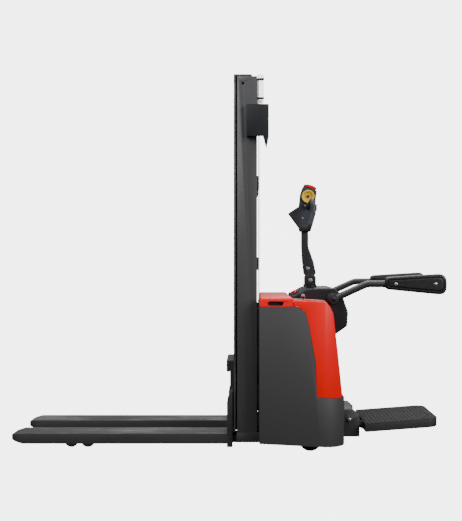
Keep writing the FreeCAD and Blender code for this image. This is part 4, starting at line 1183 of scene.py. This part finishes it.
base = merged_copy("platform_mat")
for corner in base.verts:
    if corner.co.z > mat_top(corner.co.x) - 0.0005:
        corner.co.z -= 0.0026
mat_mesh = bpy.data.meshes.new("mat_base")
base.to_mesh(mat_mesh)
base.free()
ribs = [mat_mesh]
rib_pitch = 0.0213
rib_thick = 0.0125
rib_count = int((mat_high.x - mat_low.x - 0.030) / rib_pitch)
for step in range(rib_count + 1):
    ribs.append(mat_rib(mat_low.x + 0.014 + step * rib_pitch, rib_thick))
as_piece("mat_ribbed", welded("mat_ribbed", *ribs), mat_rubber, "platform", "platform_mat")

# ---- Drive unit -----------------------------------------------------------------------
# A traction motor on a cast gearbox turns with the steering and holds the driven wheel: a
# polyurethane tyre on a bolted steel hub.

cast_metal = finish(
    "cast_metal",
    lambda s: grain(s, 0.03, 4).blend((0.16, 0.16, 0.165), (0.26, 0.26, 0.265)),
    lambda s: 0.52 + grain(s, 0.01, 4) * 0.2,
    (lambda s: grain(s, 0.003, 4), 0.0004),
    0.6,
)
motor_paint = finish(
    "motor_paint",
    lambda s: grain(s, 0.08, 4).blend((0.020, 0.020, 0.022), (0.034, 0.034, 0.036)),
    lambda s: 0.40 + grain(s, 0.02, 3) * 0.16,
    (orange_peel, 0.00015),
)
tyre_black = finish(
    "tyre_black",
    lambda s: grain(s, 0.03, 4).blend((0.016, 0.016, 0.017), (0.034, 0.033, 0.032)),
    lambda s: 0.60 + grain(s, 0.01, 3) * 0.2,
    (lambda s: grain(s, 0.003, 3), 0.00025),
)
amber_tyre = finish(
    "amber_tyre",
    lambda s: grain(s, 0.02, 4).blend((0.30, 0.075, 0.012), (0.44, 0.13, 0.022)),
    lambda s: 0.34 + grain(s, 0.01, 3) * 0.2,
    (lambda s: grain(s, 0.003, 3), 0.00015),
    Subsurface_Weight=0.08,
)
eased("drive_gearbox", cast_metal, 0.003, 3)
eased("traction_motor", motor_paint, 0.004, 3)
eased("steering_bearing", cast_metal, 0.002, 2)


def wheel_meshes(node, bore, hub_share, bolts):
    """Tyre and hub of a wheel that fills its CAD solid, with bolt heads on both faces."""
    low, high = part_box(node)
    centre = (low + high) / 2
    radius = (high.z - low.z) / 2
    half = (high.y - low.y) / 2
    seat = radius * hub_share
    tyre = [
        (-half + 0.003, seat),
        (-half, seat + 0.002),
        (-half, radius - 0.006),
        (-half + 0.0018, radius - 0.0018),
        (-half + 0.006, radius),
        (half - 0.006, radius),
        (half - 0.0018, radius - 0.0018),
        (half, radius - 0.006),
        (half, seat + 0.002),
        (half - 0.003, seat),
    ]
    dish = half * 0.42
    hub = [
        (-half + 0.001, seat - 0.004),
        (-half + 0.001, seat),
        (half - 0.001, seat),
        (half - 0.001, seat - 0.004),
        (half - dish * 0.4, seat - 0.007),
        (half - dish * 0.4, bore + 0.010),
        (half - 0.001, bore + 0.007),
        (half - 0.001, bore),
        (-half + 0.001, bore),
        (-half + 0.001, bore + 0.007),
        (-half + dish * 0.4, bore + 0.010),
        (-half + dish * 0.4, seat - 0.007),
    ]
    hubs = [spun("hub", hub, centre, 64)]
    face = half - dish * 0.4 - 0.0002
    for step in range(bolts):
        turn = 2 * math.pi * step / bolts
        reach = (seat - 0.007 + bore + 0.010) / 2
        for side in (-1, 1):
            spot = centre + Vector((reach * math.cos(turn), side * face, reach * math.sin(turn)))
            hubs.append(cap_screw(spot, (0, side, 0), min(0.006, (seat - bore) * 0.2), 0.003))
    return spun("tyre", tyre, centre, 96), welded("hub", *hubs)


def wheel_pieces(node, material, hub_material, bore, hub_share, bolts):
    """Tyre and hub as two pieces on the wheel's own body."""
    tyre, hub = wheel_meshes(node, bore, hub_share, bolts)
    as_piece(node + "_tyre", tyre, material, node, node)
    as_piece(node + "_hub", hub, hub_material, node)


wheel_pieces("drive_wheel", tyre_black, cast_metal, 0.0152, 0.70, 8)

# ---- Castors and load rollers ---------------------------------------------------------
# Two castors in pressed forks, one at each side of the drive wheel, and tandem load rollers
# of amber polyurethane on rocking bogies in the tips of the support legs.

for side in ("left", "right"):
    eased("castor_fork_" + side, rolled_steel, 0.0012, 2)
    wheel_pieces("castor_wheel_" + side, tyre_black, cast_metal, 0.0081, 0.62, 5)
    for place in ("front", "rear"):
        roller = "load_roller_" + place + "_" + side
        wheel_pieces(roller, amber_tyre, rolled_steel, 0.0101, 0.72, 0)

# ---- Battery and pump -----------------------------------------------------------------
# What stands inside the chassis: the battery in its steel case with a row of terminal
# bolts, and the hydraulic pump motor on its tank.

case_grey = finish(
    "case_grey",
    lambda s: grain(s, 0.1, 4).blend((0.050, 0.052, 0.056), (0.080, 0.082, 0.088)),
    lambda s: 0.44 + grain(s, 0.02, 4) * 0.2,
    (orange_peel, 0.0002),
)
eased("battery", case_grey, 0.004, 3)
eased("pump_unit", motor_paint, 0.003, 3)
battery_low, battery_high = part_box("battery")
post_x = (battery_low.x + battery_high.x) / 2
post_pitch = 0.075
terminal_places = []
for step in range(-4, 5):
    if step:
        terminal_places.append((post_x, step * post_pitch, battery_high.z - 0.0152))
screws("battery_terminals", terminal_places, (0, 0, 1), 0.011, 0.007, "chassis", rolled_steel)
